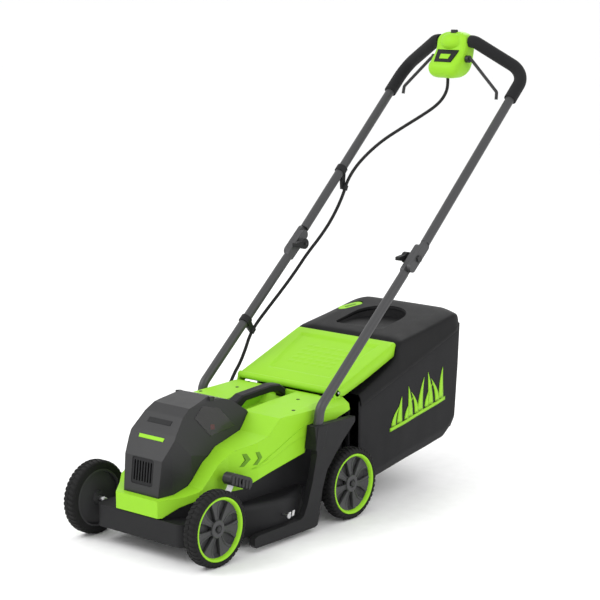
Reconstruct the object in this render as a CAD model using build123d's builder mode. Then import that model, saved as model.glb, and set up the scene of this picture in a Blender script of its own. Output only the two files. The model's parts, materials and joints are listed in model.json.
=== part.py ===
from build123d import *
from math import atan2, cos, degrees, hypot, pi, radians, sin, tan
import os

# Cordless push lawn mower, 33 cm cut, in millimetres. +X is the mower's left, -Y its front, +Z up.
# Heights are measured from the ground. Lengths along the mower are measured rearwards from the
# front wheels' centre, and the planes below carry them to the part's origin, which is on the
# ground, midway along the overall length.

# Wheels and running gear
TYRE_R = 82.5
TYRE_W = 33.0
TYRE_SEAT_R = 64.0
TYRE_SHOULDER = 7.0
RING_R = 69.5
RING_INNER_R = 56.5
WHEEL_OUT_X = 197.0
WHEELBASE = 445.0
SPOKES = 7
HUB_R = 15.0
HOLE_RING_R = 50.0
ROD_R = 5.0
RUN_GAP = 0.06
CRANK_R = 35.0
CUT_TRAVEL = 40.0
LINK_ARM_R = 50.0
STUB_END_X = 193.0
CRANK_X = 152.0
LINK_X = 138.0

# Deck
BLADE_Y = 222.0
CHAMBER_R = 171.0
DECK_WALL = 5.0
RIM_Z = 24.0
CHAMBER_TOP_Z = 96.0
NOSE_BOTTOM_Z = 38.0
NOSE_TOP_Z = 88.0
NOSE_Y = -46.0
TAIL_Y = 480.0
NOSE_HALF = 132.0
CHUTE_HALF = 118.0
CHUTE_END_Y = 496.0
BLADE_R = 163.0
BLADE_Z = 30.0
SHELL = 3.0

# Side brackets and handle
BRACKET_IN_X = 176.0
BRACKET_OUT_X = 192.0
SKID_Z = 12.0
TUBE_R = 11.0
TUBE_WALL = 1.6
LOWER_X = 177.0
UPPER_X = 183.0
JOIN_PLANE_X = 180.0
TUBE_FOOT = (331.0, 190.0)
FOLD_PIVOT = (684.0, 566.0)
LOWER_END = (722.0, 599.0)
UPPER_START = (648.0, 535.0)
CORNER_UP = (1122.0, 968.0)
BAR_UP = (1083.0, 1042.0)
BAR_HALF = 58.0
CORNER_BEND_R = 46.0
BAR_BEND_R = 30.0
PLATE_T = 11.0
GRIP_R = 15.5
GRIP_END_X = 47.0
BOLT_R = 3.0

# Switch box and bail
BOX_HALF = 46.0
BAIL_PIVOT = (1066.0, 1000.0)
BAIL_R = 4.0

# Bag and hood
BAG_HALF = 156.0
BAG_FRONT_Y = 512.0
HOOD_HALF = 148.0
HOOD_PIVOT = (444.0, 286.0)
PIN_R = 2.5

# Cable
CABLE_R = 3.5
CABLE_X = -170.0

BEND_REACH = 445.0
FOLD_SLOPE = atan2(LOWER_END[1] - UPPER_START[1], LOWER_END[0] - UPPER_START[0])
ALONG = (cos(FOLD_SLOPE), sin(FOLD_SLOPE))
TUBE_BEND = (FOLD_PIVOT[0] - BEND_REACH * ALONG[0], FOLD_PIVOT[1] - BEND_REACH * ALONG[1])
REAR_END_Y = CORNER_UP[0] + 6.9
FRONT_Y = -(REAR_END_Y - TYRE_R) / 2.0
AXLE_Z = TYRE_R
CRANK_Z = AXLE_Z - CUT_TRAVEL / 2.0
CRANK_BACK = (CRANK_R**2 - (CUT_TRAVEL / 2.0) ** 2) ** 0.5
FRONT_CRANK_Y = CRANK_BACK
REAR_CRANK_Y = WHEELBASE + CRANK_BACK
LINK_BACK = LINK_ARM_R * (CUT_TRAVEL / 2.0) / CRANK_R
LINK_UP = (LINK_ARM_R**2 - LINK_BACK**2) ** 0.5


def at(x, y, z):
    """A point, with y measured from the front wheels' centre."""
    return Vector(x, FRONT_Y + y, z)


def side(x=0.0, y=0.0, z=0.0):
    """Plane seen from the left: local x runs rearwards, local y up."""
    return Plane(origin=at(x, y, z), x_dir=(0, 1, 0), z_dir=(1, 0, 0))


def across(y, z=0.0, x=0.0):
    """Plane seen from the front: local x runs to the mower's left, local y up."""
    return Plane(origin=at(x, y, z), x_dir=(1, 0, 0), z_dir=(0, -1, 0))


def level(z, y=0.0, x=0.0):
    """Horizontal plane at height z."""
    return Plane(origin=at(x, y, z))


def mirrored(half):
    """An outline of (half width, length) points, given for the left, closed over both sides."""
    return [(w, s) for w, s in half] + [(-w, s) for w, s in reversed(half)]


def drawn_in(outline, inset):
    """A closed outline moved inwards by inset, corner by corner."""
    turn = sum(a[0] * b[1] - b[0] * a[1] for a, b in zip(outline, outline[1:] + outline[:1]))
    inward = inset if turn > 0 else -inset
    corners = []
    for before, here, after in zip(outline[-1:] + outline[:-1], outline, outline[1:] + outline[:1]):
        normals = []
        for a, b in ((before, here), (here, after)):
            length = hypot(b[0] - a[0], b[1] - a[1])
            normals.append(((a[1] - b[1]) / length, (b[0] - a[0]) / length))
        (ax, ay), (bx, by) = normals
        reach = inward / (1 + ax * bx + ay * by)
        corners.append((here[0] + reach * (ax + bx), here[1] + reach * (ay + by)))
    return corners


def prism(outline, half_width):
    """A solid with the given side outline, centred on the mower's centre plane."""
    with BuildPart() as block:
        with BuildSketch(side()):
            with BuildLine():
                Polyline(*outline, close=True)
            make_face()
        extrude(amount=half_width, both=True)
    return block.part


os.makedirs("parts", exist_ok=True)
pieces = {}


# --- Wheels -----------------------------------------------------------------------------------

def wheel(name, hand, axle_y):
    """One wheel's tyre, spoked rim and coloured ring. hand is 1 on the left, -1 on the right."""
    axle = Axis(at(0, axle_y, AXLE_Z), (1, 0, 0))
    axial = Plane(origin=at(0, axle_y, AXLE_Z), x_dir=(hand, 0, 0), z_dir=(0, -hand, 0))
    inner_x = WHEEL_OUT_X - TYRE_W
    ring_x = WHEEL_OUT_X - 9.0
    web_x = WHEEL_OUT_X - 16.0
    with BuildPart() as tyre:
        with BuildSketch(axial):
            with BuildLine():
                Polyline(
                    (inner_x, TYRE_SEAT_R), (ring_x, TYRE_SEAT_R), (ring_x, RING_R + 0.4),
                    (WHEEL_OUT_X, RING_R + 0.4), (WHEEL_OUT_X, TYRE_R - TYRE_SHOULDER),
                    (WHEEL_OUT_X - TYRE_SHOULDER, TYRE_R), (inner_x + TYRE_SHOULDER, TYRE_R),
                    (inner_x, TYRE_R - TYRE_SHOULDER), close=True,
                )
            make_face()
        revolve(axis=axle)
    with BuildPart() as rim:
        with BuildSketch(axial):
            with BuildLine():
                Polyline(
                    (inner_x + 1, TYRE_SEAT_R - 0.05), (inner_x + 1, TYRE_SEAT_R - 6),
                    (web_x - 5, TYRE_SEAT_R - 8),
                    (web_x - 5, HUB_R), (inner_x + 2, HUB_R), (inner_x + 2, ROD_R + RUN_GAP),
                    (web_x + 5, ROD_R + RUN_GAP), (web_x + 5, HUB_R), (web_x, HUB_R + 4),
                    (web_x, TYRE_SEAT_R - 8), (ring_x, TYRE_SEAT_R - 5), (ring_x, TYRE_SEAT_R - 0.05),
                    close=True,
                )
            make_face()
        revolve(axis=axle)
        with BuildSketch(side(hand * (web_x - 6), axle_y, AXLE_Z)):
            with PolarLocations(HOLE_RING_R, SPOKES, start_angle=90):
                SlotOverall(14, 8, rotation=90)
        extrude(amount=hand * 14, mode=Mode.SUBTRACT)
    with BuildPart() as ring:
        with BuildSketch(axial):
            with BuildLine():
                Polyline(
                    (ring_x + 0.05, RING_INNER_R), (ring_x + 0.05, RING_R), (WHEEL_OUT_X - 1, RING_R),
                    (WHEEL_OUT_X - 1, RING_R - 3), (ring_x + 3.5, RING_INNER_R), close=True,
                )
            make_face()
        revolve(axis=axle)
    pieces[name + "_tyre"] = tyre
    pieces[name + "_rim"] = rim
    pieces[name + "_trim_ring"] = ring


for end, wheel_y in (("front", 0.0), ("rear", WHEELBASE)):
    for hand_name, hand in (("left", 1), ("right", -1)):
        wheel(f"{end}_{hand_name}", hand, wheel_y)


# --- Cranked axles, height lever and link ------------------------------------------------------

def axle_rod(stub_y, crank_y):
    """A round rod whose wheel stubs stand off its pivot stretch, with the link's arm on it."""
    route = [
        at(-STUB_END_X, stub_y, AXLE_Z), at(-CRANK_X, stub_y, AXLE_Z), at(-CRANK_X, crank_y, CRANK_Z),
        at(CRANK_X, crank_y, CRANK_Z), at(CRANK_X, stub_y, AXLE_Z), at(STUB_END_X, stub_y, AXLE_Z),
    ]
    with BuildPart() as rod:
        with BuildLine() as line:
            FilletPolyline(*route, radius=8.0)
        with BuildSketch(Plane(origin=route[0], z_dir=(1, 0, 0))):
            Circle(ROD_R)
        sweep(path=line.wires()[0])
        with BuildSketch(side(-LINK_X, crank_y, CRANK_Z)):
            Circle(9.0)
            with BuildLine():
                Polyline((-6, 0), (6, 0), (LINK_BACK + 6, LINK_UP), (LINK_BACK - 6, LINK_UP), close=True)
            make_face()
            with Locations((LINK_BACK, LINK_UP)):
                Circle(6.0)
        extrude(amount=-4)
        with BuildSketch(side(-LINK_X - 4, crank_y, CRANK_Z)):
            with Locations((LINK_BACK, LINK_UP)):
                Circle(3.0)
        extrude(amount=-6)
    return rod


pieces["front_axle"] = axle_rod(0.0, FRONT_CRANK_Y)
pieces["rear_axle"] = axle_rod(WHEELBASE, REAR_CRANK_Y)

with BuildPart() as link_rod:
    with BuildSketch(side(-LINK_X - 4.4, FRONT_CRANK_Y + LINK_BACK, CRANK_Z + LINK_UP)):
        with Locations((0, 0), (WHEELBASE, 0)):
            Circle(6.5)
        with Locations((WHEELBASE / 2, 0)):
            Rectangle(WHEELBASE, 6)
        Circle(3.0 + RUN_GAP, mode=Mode.SUBTRACT)
        with Locations((WHEELBASE, 0)):
            Circle(3.5, mode=Mode.SUBTRACT)
    extrude(amount=-4)
pieces["link_rod"] = link_rod


def axle_nuts(axle_y):
    """The two domed nuts that hold a pair of wheels on their stubs."""
    with BuildPart() as nuts:
        for hand in (1, -1):
            nut_x = WHEEL_OUT_X - 10.6
            with BuildSketch(side(hand * nut_x, axle_y, AXLE_Z)):
                RegularPolygon(8.5, 6)
                Circle(ROD_R + 0.02, mode=Mode.SUBTRACT)
            extrude(amount=hand * 7)
    return nuts


pieces["front_axle_nuts"] = axle_nuts(0.0)
pieces["rear_axle_nuts"] = axle_nuts(WHEELBASE)

LEVER_X = 140.0
LEVER_TIP = (98.0, 160.0)
GRIP_LEN = 74.0
GRIP_TALL = 27.0
GRIP_TILT = -22.0

with BuildPart() as height_lever:
    with BuildSketch(side(LEVER_X, FRONT_CRANK_Y, CRANK_Z)):
        Circle(10.0)
        with BuildLine():
            reach = (LEVER_TIP[0] - FRONT_CRANK_Y, LEVER_TIP[1] - CRANK_Z)
            Polyline((-8, 4), (8, -6), (reach[0] + 7, reach[1] - 6), (reach[0] - 7, reach[1] + 2), close=True)
        make_face()
        Circle(ROD_R + 0.03, mode=Mode.SUBTRACT)
    extrude(amount=4)
    with BuildSketch(side(LEVER_X + 4, LEVER_TIP[0], LEVER_TIP[1])):
        Circle(6.0)
    extrude(amount=14)
pieces["height_lever"] = height_lever

with BuildPart() as lever_grip:
    grip_plane = side(LEVER_X + 4.4, LEVER_TIP[0], LEVER_TIP[1])
    with BuildSketch(grip_plane):
        SlotOverall(GRIP_LEN, GRIP_TALL, rotation=GRIP_TILT)
        Circle(6.05, mode=Mode.SUBTRACT)
    extrude(amount=26)
    fillet(lever_grip.faces().sort_by(Axis.X)[-1].outer_wire().edges(), 5)
pieces["lever_grip"] = lever_grip


# --- Deck --------------------------------------------------------------------------------------

COVER_PLAN = [
    (62, NOSE_Y - 4), (90, -12), (116, 20), (128, 100), (154, 165), (158, 320), (158, 356), (167, 368),
    (170, 462),
]
COVER_TOP = [(-52, 91), (-52, 128), (-4, 134), (30, 147), (72, 192), (114, 217), (200, 236), (238, 268),
             (330, 274), (420, 278), (430, 276), (466, 276), (470, 262)]
COVER_LOWER = [(470, 250), (372, 226), (330, 214), (317, 176), (201, 154), (165, 146), (130, 130),
               (14, 124), (-12, 112), (-42, 91)]
COVER_FRONT = [(176, 60), (174, 225), (166, 262), (150, 272), (100, 300)]


def cover_form(inset):
    """Outer form of the top cover, drawn in by inset, where its three outlines meet."""
    with BuildPart() as form:
        with BuildSketch(side()):
            with BuildLine():
                Polyline(*drawn_in(COVER_TOP + COVER_LOWER, inset), close=True)
            make_face()
        extrude(amount=200, both=True)
        with BuildSketch(level(0)):
            with BuildLine():
                Polyline(*drawn_in(mirrored(COVER_PLAN), inset), close=True)
            make_face()
        extrude(amount=400, mode=Mode.INTERSECT)
        with BuildSketch(across(-100)):
            with BuildLine():
                Polyline(*drawn_in(mirrored(COVER_FRONT), inset), close=True)
            make_face()
        extrude(amount=-700, mode=Mode.INTERSECT)
    return form.part


HEAD_SIDE = [(-36, 112), (-36, 135), (-27, 209), (5, 258), (37, 292), (61, 307),
             (130, 321), (190, 303), (238, 270), (242, 240), (242, 200), (158, 196), (158, 104)]
HEAD_PLAN = [(50, -39), (64, -6), (76, 40), (80, 120), (72, 200), (58, 244)]
HEAD_FRONT = [(80, 100), (80, 196), (64, 262), (52, 310), (40, 324)]


def head_form(inset):
    """Outer form of the power head's cover, drawn in by inset."""
    with BuildPart() as form:
        with BuildSketch(side()):
            with BuildLine():
                Polyline(*drawn_in(HEAD_SIDE, inset), close=True)
            make_face()
        extrude(amount=120, both=True)
        with BuildSketch(level(0)):
            with BuildLine():
                Polyline(*drawn_in(mirrored(HEAD_PLAN), inset), close=True)
            make_face()
        extrude(amount=400, mode=Mode.INTERSECT)
        with BuildSketch(across(-100)):
            with BuildLine():
                Polyline(*drawn_in(mirrored(HEAD_FRONT), inset), close=True)
            make_face()
        extrude(amount=-500, mode=Mode.INTERSECT)
    return form.part


RING_SIDE = [(-60, 60), (-60, 120), (20, 121), (100, 140), (165, 154), (325, 190), (380, 200), (380, 60)]
CHUTE_OUTER = [(340, 60), (385, 50), (CHUTE_END_Y, 79), (CHUTE_END_Y, 246), (470, 246), (330, 130), (330, 96)]
CHUTE_INNER = [(340, 20), (384, 20), (388, 55), (CHUTE_END_Y + 1, 83), (CHUTE_END_Y + 1, 242), (472, 242),
               (336, 126), (336, 60)]

ring_plan = mirrored(COVER_PLAN[:4] + [(134, 165), (134, 380)])

with BuildPart() as deck_ring:
    with BuildSketch(level(NOSE_TOP_Z - 3)):
        with BuildLine():
            Polyline(*drawn_in(ring_plan, 6), close=True)
        make_face()
        with BuildLine():
            Polyline(*drawn_in(ring_plan, 10), close=True)
        make_face(mode=Mode.SUBTRACT)
    extrude(amount=130)
    with BuildSketch(side()):
        with BuildLine():
            Polyline(*RING_SIDE, close=True)
        make_face()
    extrude(amount=200, both=True, mode=Mode.INTERSECT)

with BuildPart() as deck:
    with BuildSketch(level(RIM_Z)):
        with Locations((0, BLADE_Y)):
            Circle(CHAMBER_R + DECK_WALL)
    extrude(amount=CHAMBER_TOP_Z - RIM_Z)
    fillet(deck.edges().group_by(Axis.Z)[-1], 14)
    with BuildSketch(level(NOSE_BOTTOM_Z)):
        with Locations((0, (NOSE_Y + TAIL_Y) / 2)):
            RectangleRounded(2 * NOSE_HALF, TAIL_Y - NOSE_Y, 20)
    extrude(amount=NOSE_TOP_Z - NOSE_BOTTOM_Z)
    with BuildSketch(side()):
        with BuildLine():
            Polyline(*CHUTE_OUTER, close=True)
        make_face()
    extrude(amount=CHUTE_HALF, both=True)
    add(deck_ring.part)
    with BuildSketch(level(RIM_Z - 1)):
        with Locations((0, BLADE_Y)):
            Circle(CHAMBER_R)
    extrude(amount=CHAMBER_TOP_Z - DECK_WALL - RIM_Z + 1, mode=Mode.SUBTRACT)
    with BuildSketch(level(NOSE_BOTTOM_Z - 1)):
        with Locations((0, (NOSE_Y + TAIL_Y) / 2)):
            RectangleRounded(2 * (NOSE_HALF - DECK_WALL), TAIL_Y - NOSE_Y - 2 * DECK_WALL, 16)
        with Locations((0, BLADE_Y)):
            Circle(CHAMBER_R + DECK_WALL, mode=Mode.SUBTRACT)
        with Locations((0, CHUTE_END_Y - 60)):
            Rectangle(2 * CHUTE_HALF, 130, mode=Mode.SUBTRACT)
    extrude(amount=NOSE_TOP_Z - DECK_WALL - NOSE_BOTTOM_Z + 1, mode=Mode.SUBTRACT)
    with BuildSketch(side()):
        with BuildLine():
            Polyline(*CHUTE_INNER, close=True)
        make_face()
    extrude(amount=CHUTE_HALF - 4, both=True, mode=Mode.SUBTRACT)
    with BuildSketch(level(NOSE_BOTTOM_Z - 20)):
        with Locations((0, 440)):
            Rectangle(2 * CHUTE_HALF - 10, 70)
    extrude(amount=28, mode=Mode.SUBTRACT)
    for crank_y in (FRONT_CRANK_Y, REAR_CRANK_Y):
        with BuildSketch(side(-NOSE_HALF - 5, crank_y, CRANK_Z)):
            Circle(ROD_R + RUN_GAP)
        extrude(amount=2 * NOSE_HALF + 10, mode=Mode.SUBTRACT)
    with BuildSketch(level(CHAMBER_TOP_Z - 20, BLADE_Y)):
        Circle(22.0)
    extrude(amount=40, mode=Mode.SUBTRACT)
    with BuildSketch(side(-220)):
        with Locations((BLADE_Y, 60)):
            Circle(2.6)
    extrude(amount=440, mode=Mode.SUBTRACT)
pieces["deck"] = deck


# --- Covers ------------------------------------------------------------------------------------

cover_outer = cover_form(0.0)
cover_inner = cover_form(SHELL)
head_outer = head_form(0.0)
head_inner = head_form(SHELL)
head_room = head_form(-0.8)

CARRY_HALF = 14.0
CARRY_SIDE = [
    (246, 243), (240, 262), (254, 281), (276, 291), (376, 297), (402, 294), (428, 276), (429, 250),
    (421.5, 250), (414, 266), (396, 277), (372, 280), (288, 276), (268, 262), (264, 244),
]
CABLE_GLAND = (CABLE_X + 22, 404.0, 262.0)
RECESS_SIDE = [(236, 262), (262, 242), (300, 236), (392, 242), (418, 262), (418, 300), (236, 300)]
RECESS_BLOCK = [
    (233, 266.5), (233, 257), (261, 239), (300, 233), (393, 239), (421, 260), (421, 276.5), (300, 271),
]
RECESS_HALF = 46.0

recess_block = prism(RECESS_BLOCK, RECESS_HALF + SHELL)
recess_room = prism(RECESS_SIDE, RECESS_HALF)
carry_room = prism(drawn_in(CARRY_SIDE, -0.15), CARRY_HALF + 0.15)

with BuildPart() as top_cover:
    add(cover_outer)
    for lift, back in ((0, 0), (-8, 0), (0, 8), (-16, 8)):
        add(cover_inner.moved(Location((0, back, lift))), mode=Mode.SUBTRACT)
    add(recess_block)
    add(recess_room, mode=Mode.SUBTRACT)
    add(head_room, mode=Mode.SUBTRACT)
    add(carry_room, mode=Mode.SUBTRACT)
    with BuildSketch(Plane(origin=at(*CABLE_GLAND), z_dir=(-12, 30, 22))):
        Circle(CABLE_R + 1.0)
    extrude(amount=30, both=True, mode=Mode.SUBTRACT)
    with BuildSketch(side()):
        with Locations((HOOD_PIVOT[0] + 20, HOOD_PIVOT[1])):
            Rectangle(60, 60)
    extrude(amount=142, both=True, mode=Mode.SUBTRACT)
    for hand in (1, -1):
        with BuildSketch(side(hand * 143, 0, 0)):
            with BuildLine():
                Polyline((424, 240), (HOOD_PIVOT[0] - 8, HOOD_PIVOT[1]), (HOOD_PIVOT[0], HOOD_PIVOT[1] + 7),
                         (HOOD_PIVOT[0] + 8, HOOD_PIVOT[1]), (462, 240), close=True)
            make_face()
            with Locations(HOOD_PIVOT):
                Circle(PIN_R + 0.02, mode=Mode.SUBTRACT)
        extrude(amount=hand * 5)
pieces["top_cover"] = top_cover


DOOR_HALF = 50.0
DOOR_PIVOT = (137.5, 316.0)
DOOR_PIN_R = 1.5
DOOR_SIDE = [(134.6, 340), (134.6, 312), (228, 266), (236, 280), (236, 340)]
DOOR_ROOM = [(132.9, 341), (132.9, 310), (228, 264), (238, 276), (238, 341)]
WINDOW_HALF = 32.0
WINDOW_LOW, WINDOW_HIGH = 150.0, 208.0
WINDOW_Z = (WINDOW_LOW + WINDOW_HIGH) / 2
GRILLE_SIDE = [(-33.4, 149), (-26.0, 210), (-23.2, 210), (-30.6, 149)]

door_zone = prism(DOOR_SIDE, DOOR_HALF)
door_gap = prism(DOOR_ROOM, DOOR_HALF + 0.6)

with BuildPart() as head_cover:
    add(head_outer)
    for lift in (0, -10):
        add(head_inner.moved(Location((0, 0, lift))), mode=Mode.SUBTRACT)
    add(door_gap, mode=Mode.SUBTRACT)
    with BuildSketch(across(-60, WINDOW_Z)):
        RectangleRounded(2 * WINDOW_HALF, WINDOW_HIGH - WINDOW_LOW, 6)
    extrude(amount=-50, mode=Mode.SUBTRACT)
    for hand in (1, -1):
        with BuildSketch(side(hand * (DOOR_HALF - 4.4))):
            with BuildLine():
                Polyline((126, 321), (126, 311), (140.5, 312), (140.5, 319), close=True)
            make_face()
            with Locations(DOOR_PIVOT):
                Circle(DOOR_PIN_R + 0.02, mode=Mode.SUBTRACT)
        extrude(amount=hand * 6)
pieces["head_cover"] = head_cover

with BuildPart() as front_grille:
    with BuildSketch(across(-60, WINDOW_Z)):
        RectangleRounded(2 * WINDOW_HALF - 0.6, WINDOW_HIGH - WINDOW_LOW - 0.6, 5.7)
        with GridLocations(8, 1, 7, 1):
            SlotOverall(44, 4, rotation=90, mode=Mode.SUBTRACT)
    extrude(amount=-50)
    add(prism(GRILLE_SIDE, WINDOW_HALF), mode=Mode.INTERSECT)
pieces["front_grille"] = front_grille

with BuildPart() as battery_door:
    add(head_outer)
    add(head_inner, mode=Mode.SUBTRACT)
    add(door_zone, mode=Mode.INTERSECT)
    with BuildSketch(side(-DOOR_HALF + 6)):
        with Locations(DOOR_PIVOT):
            Circle(3.4)
    extrude(amount=2 * DOOR_HALF - 12)
    for hand in (1, -1):
        with BuildSketch(side(hand * (DOOR_HALF - 5))):
            with BuildLine():
                Polyline((130, 330), (130, 305), (142.5, 305), (142.5, 330), close=True)
            make_face()
        extrude(amount=hand * 8, mode=Mode.SUBTRACT)
    with BuildSketch(side(-DOOR_HALF - 5)):
        with Locations(DOOR_PIVOT):
            Circle(DOOR_PIN_R + RUN_GAP)
    extrude(amount=2 * DOOR_HALF + 10, mode=Mode.SUBTRACT)
pieces["battery_door"] = battery_door

PACK_Y = 162.0
PACK_FLOOR_Z = 206.0
KEY_X = 48.0
TRAY_LEG_Y = 122.0
with BuildPart() as battery_tray:
    with BuildSketch(level(PACK_FLOOR_Z - 4, PACK_Y)):
        Rectangle(108, 116)
    extrude(amount=4)
    with BuildSketch(level(PACK_FLOOR_Z, PACK_Y)):
        Rectangle(86, 116)
        Rectangle(78, 108, mode=Mode.SUBTRACT)
    extrude(amount=34)
    with BuildSketch(level(PACK_FLOOR_Z, PACK_Y, KEY_X)):
        Circle(7.5)
        Circle(5.0 + RUN_GAP, mode=Mode.SUBTRACT)
    extrude(amount=44)
    for leg_x in (-48, 48):
        with BuildSketch(level(128, TRAY_LEG_Y, leg_x)):
            Rectangle(8, 20)
        extrude(amount=PACK_FLOOR_Z - 132)
    with BuildSketch(level(124, TRAY_LEG_Y)):
        Rectangle(112, 20)
    extrude(amount=4)
pieces["battery_tray"] = battery_tray

with BuildPart() as battery_pack:
    with BuildSketch(level(PACK_FLOOR_Z + 0.3, PACK_Y)):
        RectangleRounded(77, 107, 8)
    extrude(amount=62)
    fillet(battery_pack.edges().group_by(Axis.Z)[-1], 5)
    with BuildSketch(level(PACK_FLOOR_Z + 62.3, PACK_Y + 22)):
        SlotOverall(46, 16)
    extrude(amount=-8, mode=Mode.SUBTRACT)
pieces["battery_pack"] = battery_pack

with BuildPart() as safety_key:
    with BuildSketch(level(PACK_FLOOR_Z + 18, PACK_Y, KEY_X)):
        Circle(5.0)
    extrude(amount=26.4)
    with BuildSketch(level(PACK_FLOOR_Z + 44.4, PACK_Y, KEY_X)):
        SlotOverall(14, 8, rotation=90)
    extrude(amount=9)
pieces["safety_key"] = safety_key

with BuildPart() as controller:
    with BuildSketch(level(138, 46)):
        RectangleRounded(96, 60, 5)
    extrude(amount=26)
    with BuildSketch(level(128, 46)):
        with GridLocations(70, 36, 2, 2):
            Circle(4)
    extrude(amount=10)
    with BuildSketch(level(124, 46)):
        Rectangle(96, 60)
    extrude(amount=4)
pieces["controller"] = controller


# --- Motor and blade ---------------------------------------------------------------------------

with BuildPart() as motor_stator:
    with BuildSketch(level(CHAMBER_TOP_Z, BLADE_Y)):
        Circle(60)
        Circle(15, mode=Mode.SUBTRACT)
    extrude(amount=5)
    with BuildSketch(level(CHAMBER_TOP_Z + 5, BLADE_Y)):
        Circle(54)
        Circle(49, mode=Mode.SUBTRACT)
    extrude(amount=85)
    with BuildSketch(level(CHAMBER_TOP_Z + 22, BLADE_Y)):
        Circle(49)
        Circle(33, mode=Mode.SUBTRACT)
        with PolarLocations(41, 12):
            SlotOverall(13, 4, mode=Mode.SUBTRACT)
    extrude(amount=50)
    with BuildSketch(level(CHAMBER_TOP_Z + 86, BLADE_Y)):
        Circle(54)
        Circle(11.05, mode=Mode.SUBTRACT)
    extrude(amount=4)
pieces["motor_stator"] = motor_stator

with BuildPart() as motor_bearings:
    for bearing_z, outer_r in ((CHAMBER_TOP_Z - 4, 14.9), (CHAMBER_TOP_Z + 82, 11.0)):
        with BuildSketch(level(bearing_z, BLADE_Y)):
            Circle(outer_r)
            Circle(6.0 + RUN_GAP, mode=Mode.SUBTRACT)
        extrude(amount=8)
pieces["motor_bearings"] = motor_bearings

with BuildPart() as motor_rotor:
    with BuildSketch(level(38, BLADE_Y)):
        Circle(6.0)
    extrude(amount=154)
    with BuildSketch(level(CHAMBER_TOP_Z + 22, BLADE_Y)):
        Circle(31.5)
    extrude(amount=50)
pieces["motor_rotor"] = motor_rotor

with BuildPart() as blade_adapter:
    with BuildSketch(level(BLADE_Z + 3, BLADE_Y)):
        Circle(24)
        Circle(6.02, mode=Mode.SUBTRACT)
    extrude(amount=10)
    with BuildSketch(level(BLADE_Z + 13, BLADE_Y)):
        Circle(11)
        Circle(6.02, mode=Mode.SUBTRACT)
    extrude(amount=34)
    with BuildSketch(level(BLADE_Z + 13, BLADE_Y)):
        with PolarLocations(32, 8):
            Rectangle(44, 3, rotation=12)
    extrude(amount=20)
    with BuildSketch(level(BLADE_Z + 3, BLADE_Y)):
        with PolarLocations(30, 8):
            Circle(3)
        Circle(54)
        Circle(20, mode=Mode.SUBTRACT)
    extrude(amount=10)
    with BuildSketch(level(38, BLADE_Y)):
        Circle(6.02)
    extrude(amount=50, mode=Mode.SUBTRACT)
pieces["blade_adapter"] = blade_adapter

with BuildPart() as blade:
    with BuildSketch(level(BLADE_Z, BLADE_Y)):
        Rectangle(2 * BLADE_R - 20, 46)
        Rectangle(2 * BLADE_R, 30)
        Circle(4.05, mode=Mode.SUBTRACT)
    extrude(amount=3)
    for hand in (1, -1):
        with BuildSketch(side(hand * 108, BLADE_Y, BLADE_Z)):
            with BuildLine():
                Polyline(
                    (-hand * 14, 0.5), (-hand * 23, 0.5), (-hand * 30, 14), (-hand * 27, 15.5),
                    (-hand * 20, 3), (-hand * 14, 3), close=True,
                )
            make_face()
        extrude(amount=hand * 44)
pieces["blade"] = blade

with BuildPart() as blade_bolt:
    with BuildSketch(level(BLADE_Z - 1.6, BLADE_Y)):
        Circle(14)
    extrude(amount=1.6)
    with BuildSketch(level(BLADE_Z - 7, BLADE_Y)):
        RegularPolygon(8, 6)
    extrude(amount=5.4)
    with BuildSketch(level(BLADE_Z, BLADE_Y)):
        Circle(4.0)
    extrude(amount=8)
pieces["blade_bolt"] = blade_bolt


# --- Carry handle ------------------------------------------------------------------------------

with BuildPart() as carry_handle:
    add(prism(CARRY_SIDE, CARRY_HALF))
    chamfer(carry_handle.edges().filter_by(GeomType.LINE).filter_by(Axis.X, reverse=True), 3)
pieces["carry_handle"] = carry_handle


# --- Side brackets and handle tubes ------------------------------------------------------------

BRACKET_SIDE = [
    (112, 18), (118, SKID_Z), (312, SKID_Z), (322, 16), (326, 30), (330, 54), (338, 94), (354, 134),
    (382, 164), (411, 192), (452, 226), (452, 238), (352, 240), (312, 240), (319, 176), (304, 118),
    (287, 70), (274, 46), (262, 41), (124, 38), (112, 34),
]


def tube_foot_plane(hand, lift=0.0):
    """Plane across a handle tube's foot, lifted along the tube."""
    rise = Vector(0, TUBE_BEND[0] - TUBE_FOOT[0], TUBE_BEND[1] - TUBE_FOOT[1]).normalized()
    foot = at(hand * LOWER_X, *TUBE_FOOT) + rise * lift
    return Plane(origin=foot, z_dir=rise)


def side_bracket(hand):
    """Skid, pillar and tube socket on one side."""
    with BuildPart() as bracket:
        with BuildSketch(side(hand * BRACKET_IN_X)):
            with BuildLine():
                Polyline(*BRACKET_SIDE, close=True)
            make_face()
        extrude(amount=hand * (BRACKET_OUT_X - BRACKET_IN_X))
        with BuildSketch(side(hand * 161)):
            with BuildLine():
                Polyline((314, 186), (340, 186), (356, 238), (322, 238), close=True)
            make_face()
        extrude(amount=hand * 32)
        with BuildSketch(tube_foot_plane(hand)):
            Circle(TUBE_R + 0.03)
        extrude(amount=60, mode=Mode.SUBTRACT)
        with BuildSketch(side(hand * 150)):
            with Locations((BLADE_Y, 60)):
                Circle(2.6)
        extrude(amount=hand * 60, mode=Mode.SUBTRACT)
    return bracket


pieces["side_bracket_left"] = side_bracket(1)
pieces["side_bracket_right"] = side_bracket(-1)

PLATE_LEN = 90.0
PLATE_SHIFT = 6.0
TUBE_START = 47.0


def slope_point(base, reach):
    """A (length, height) point at a reach up the handle's slope from base."""
    return (base[0] + ALONG[0] * reach, base[1] + ALONG[1] * reach)


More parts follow.
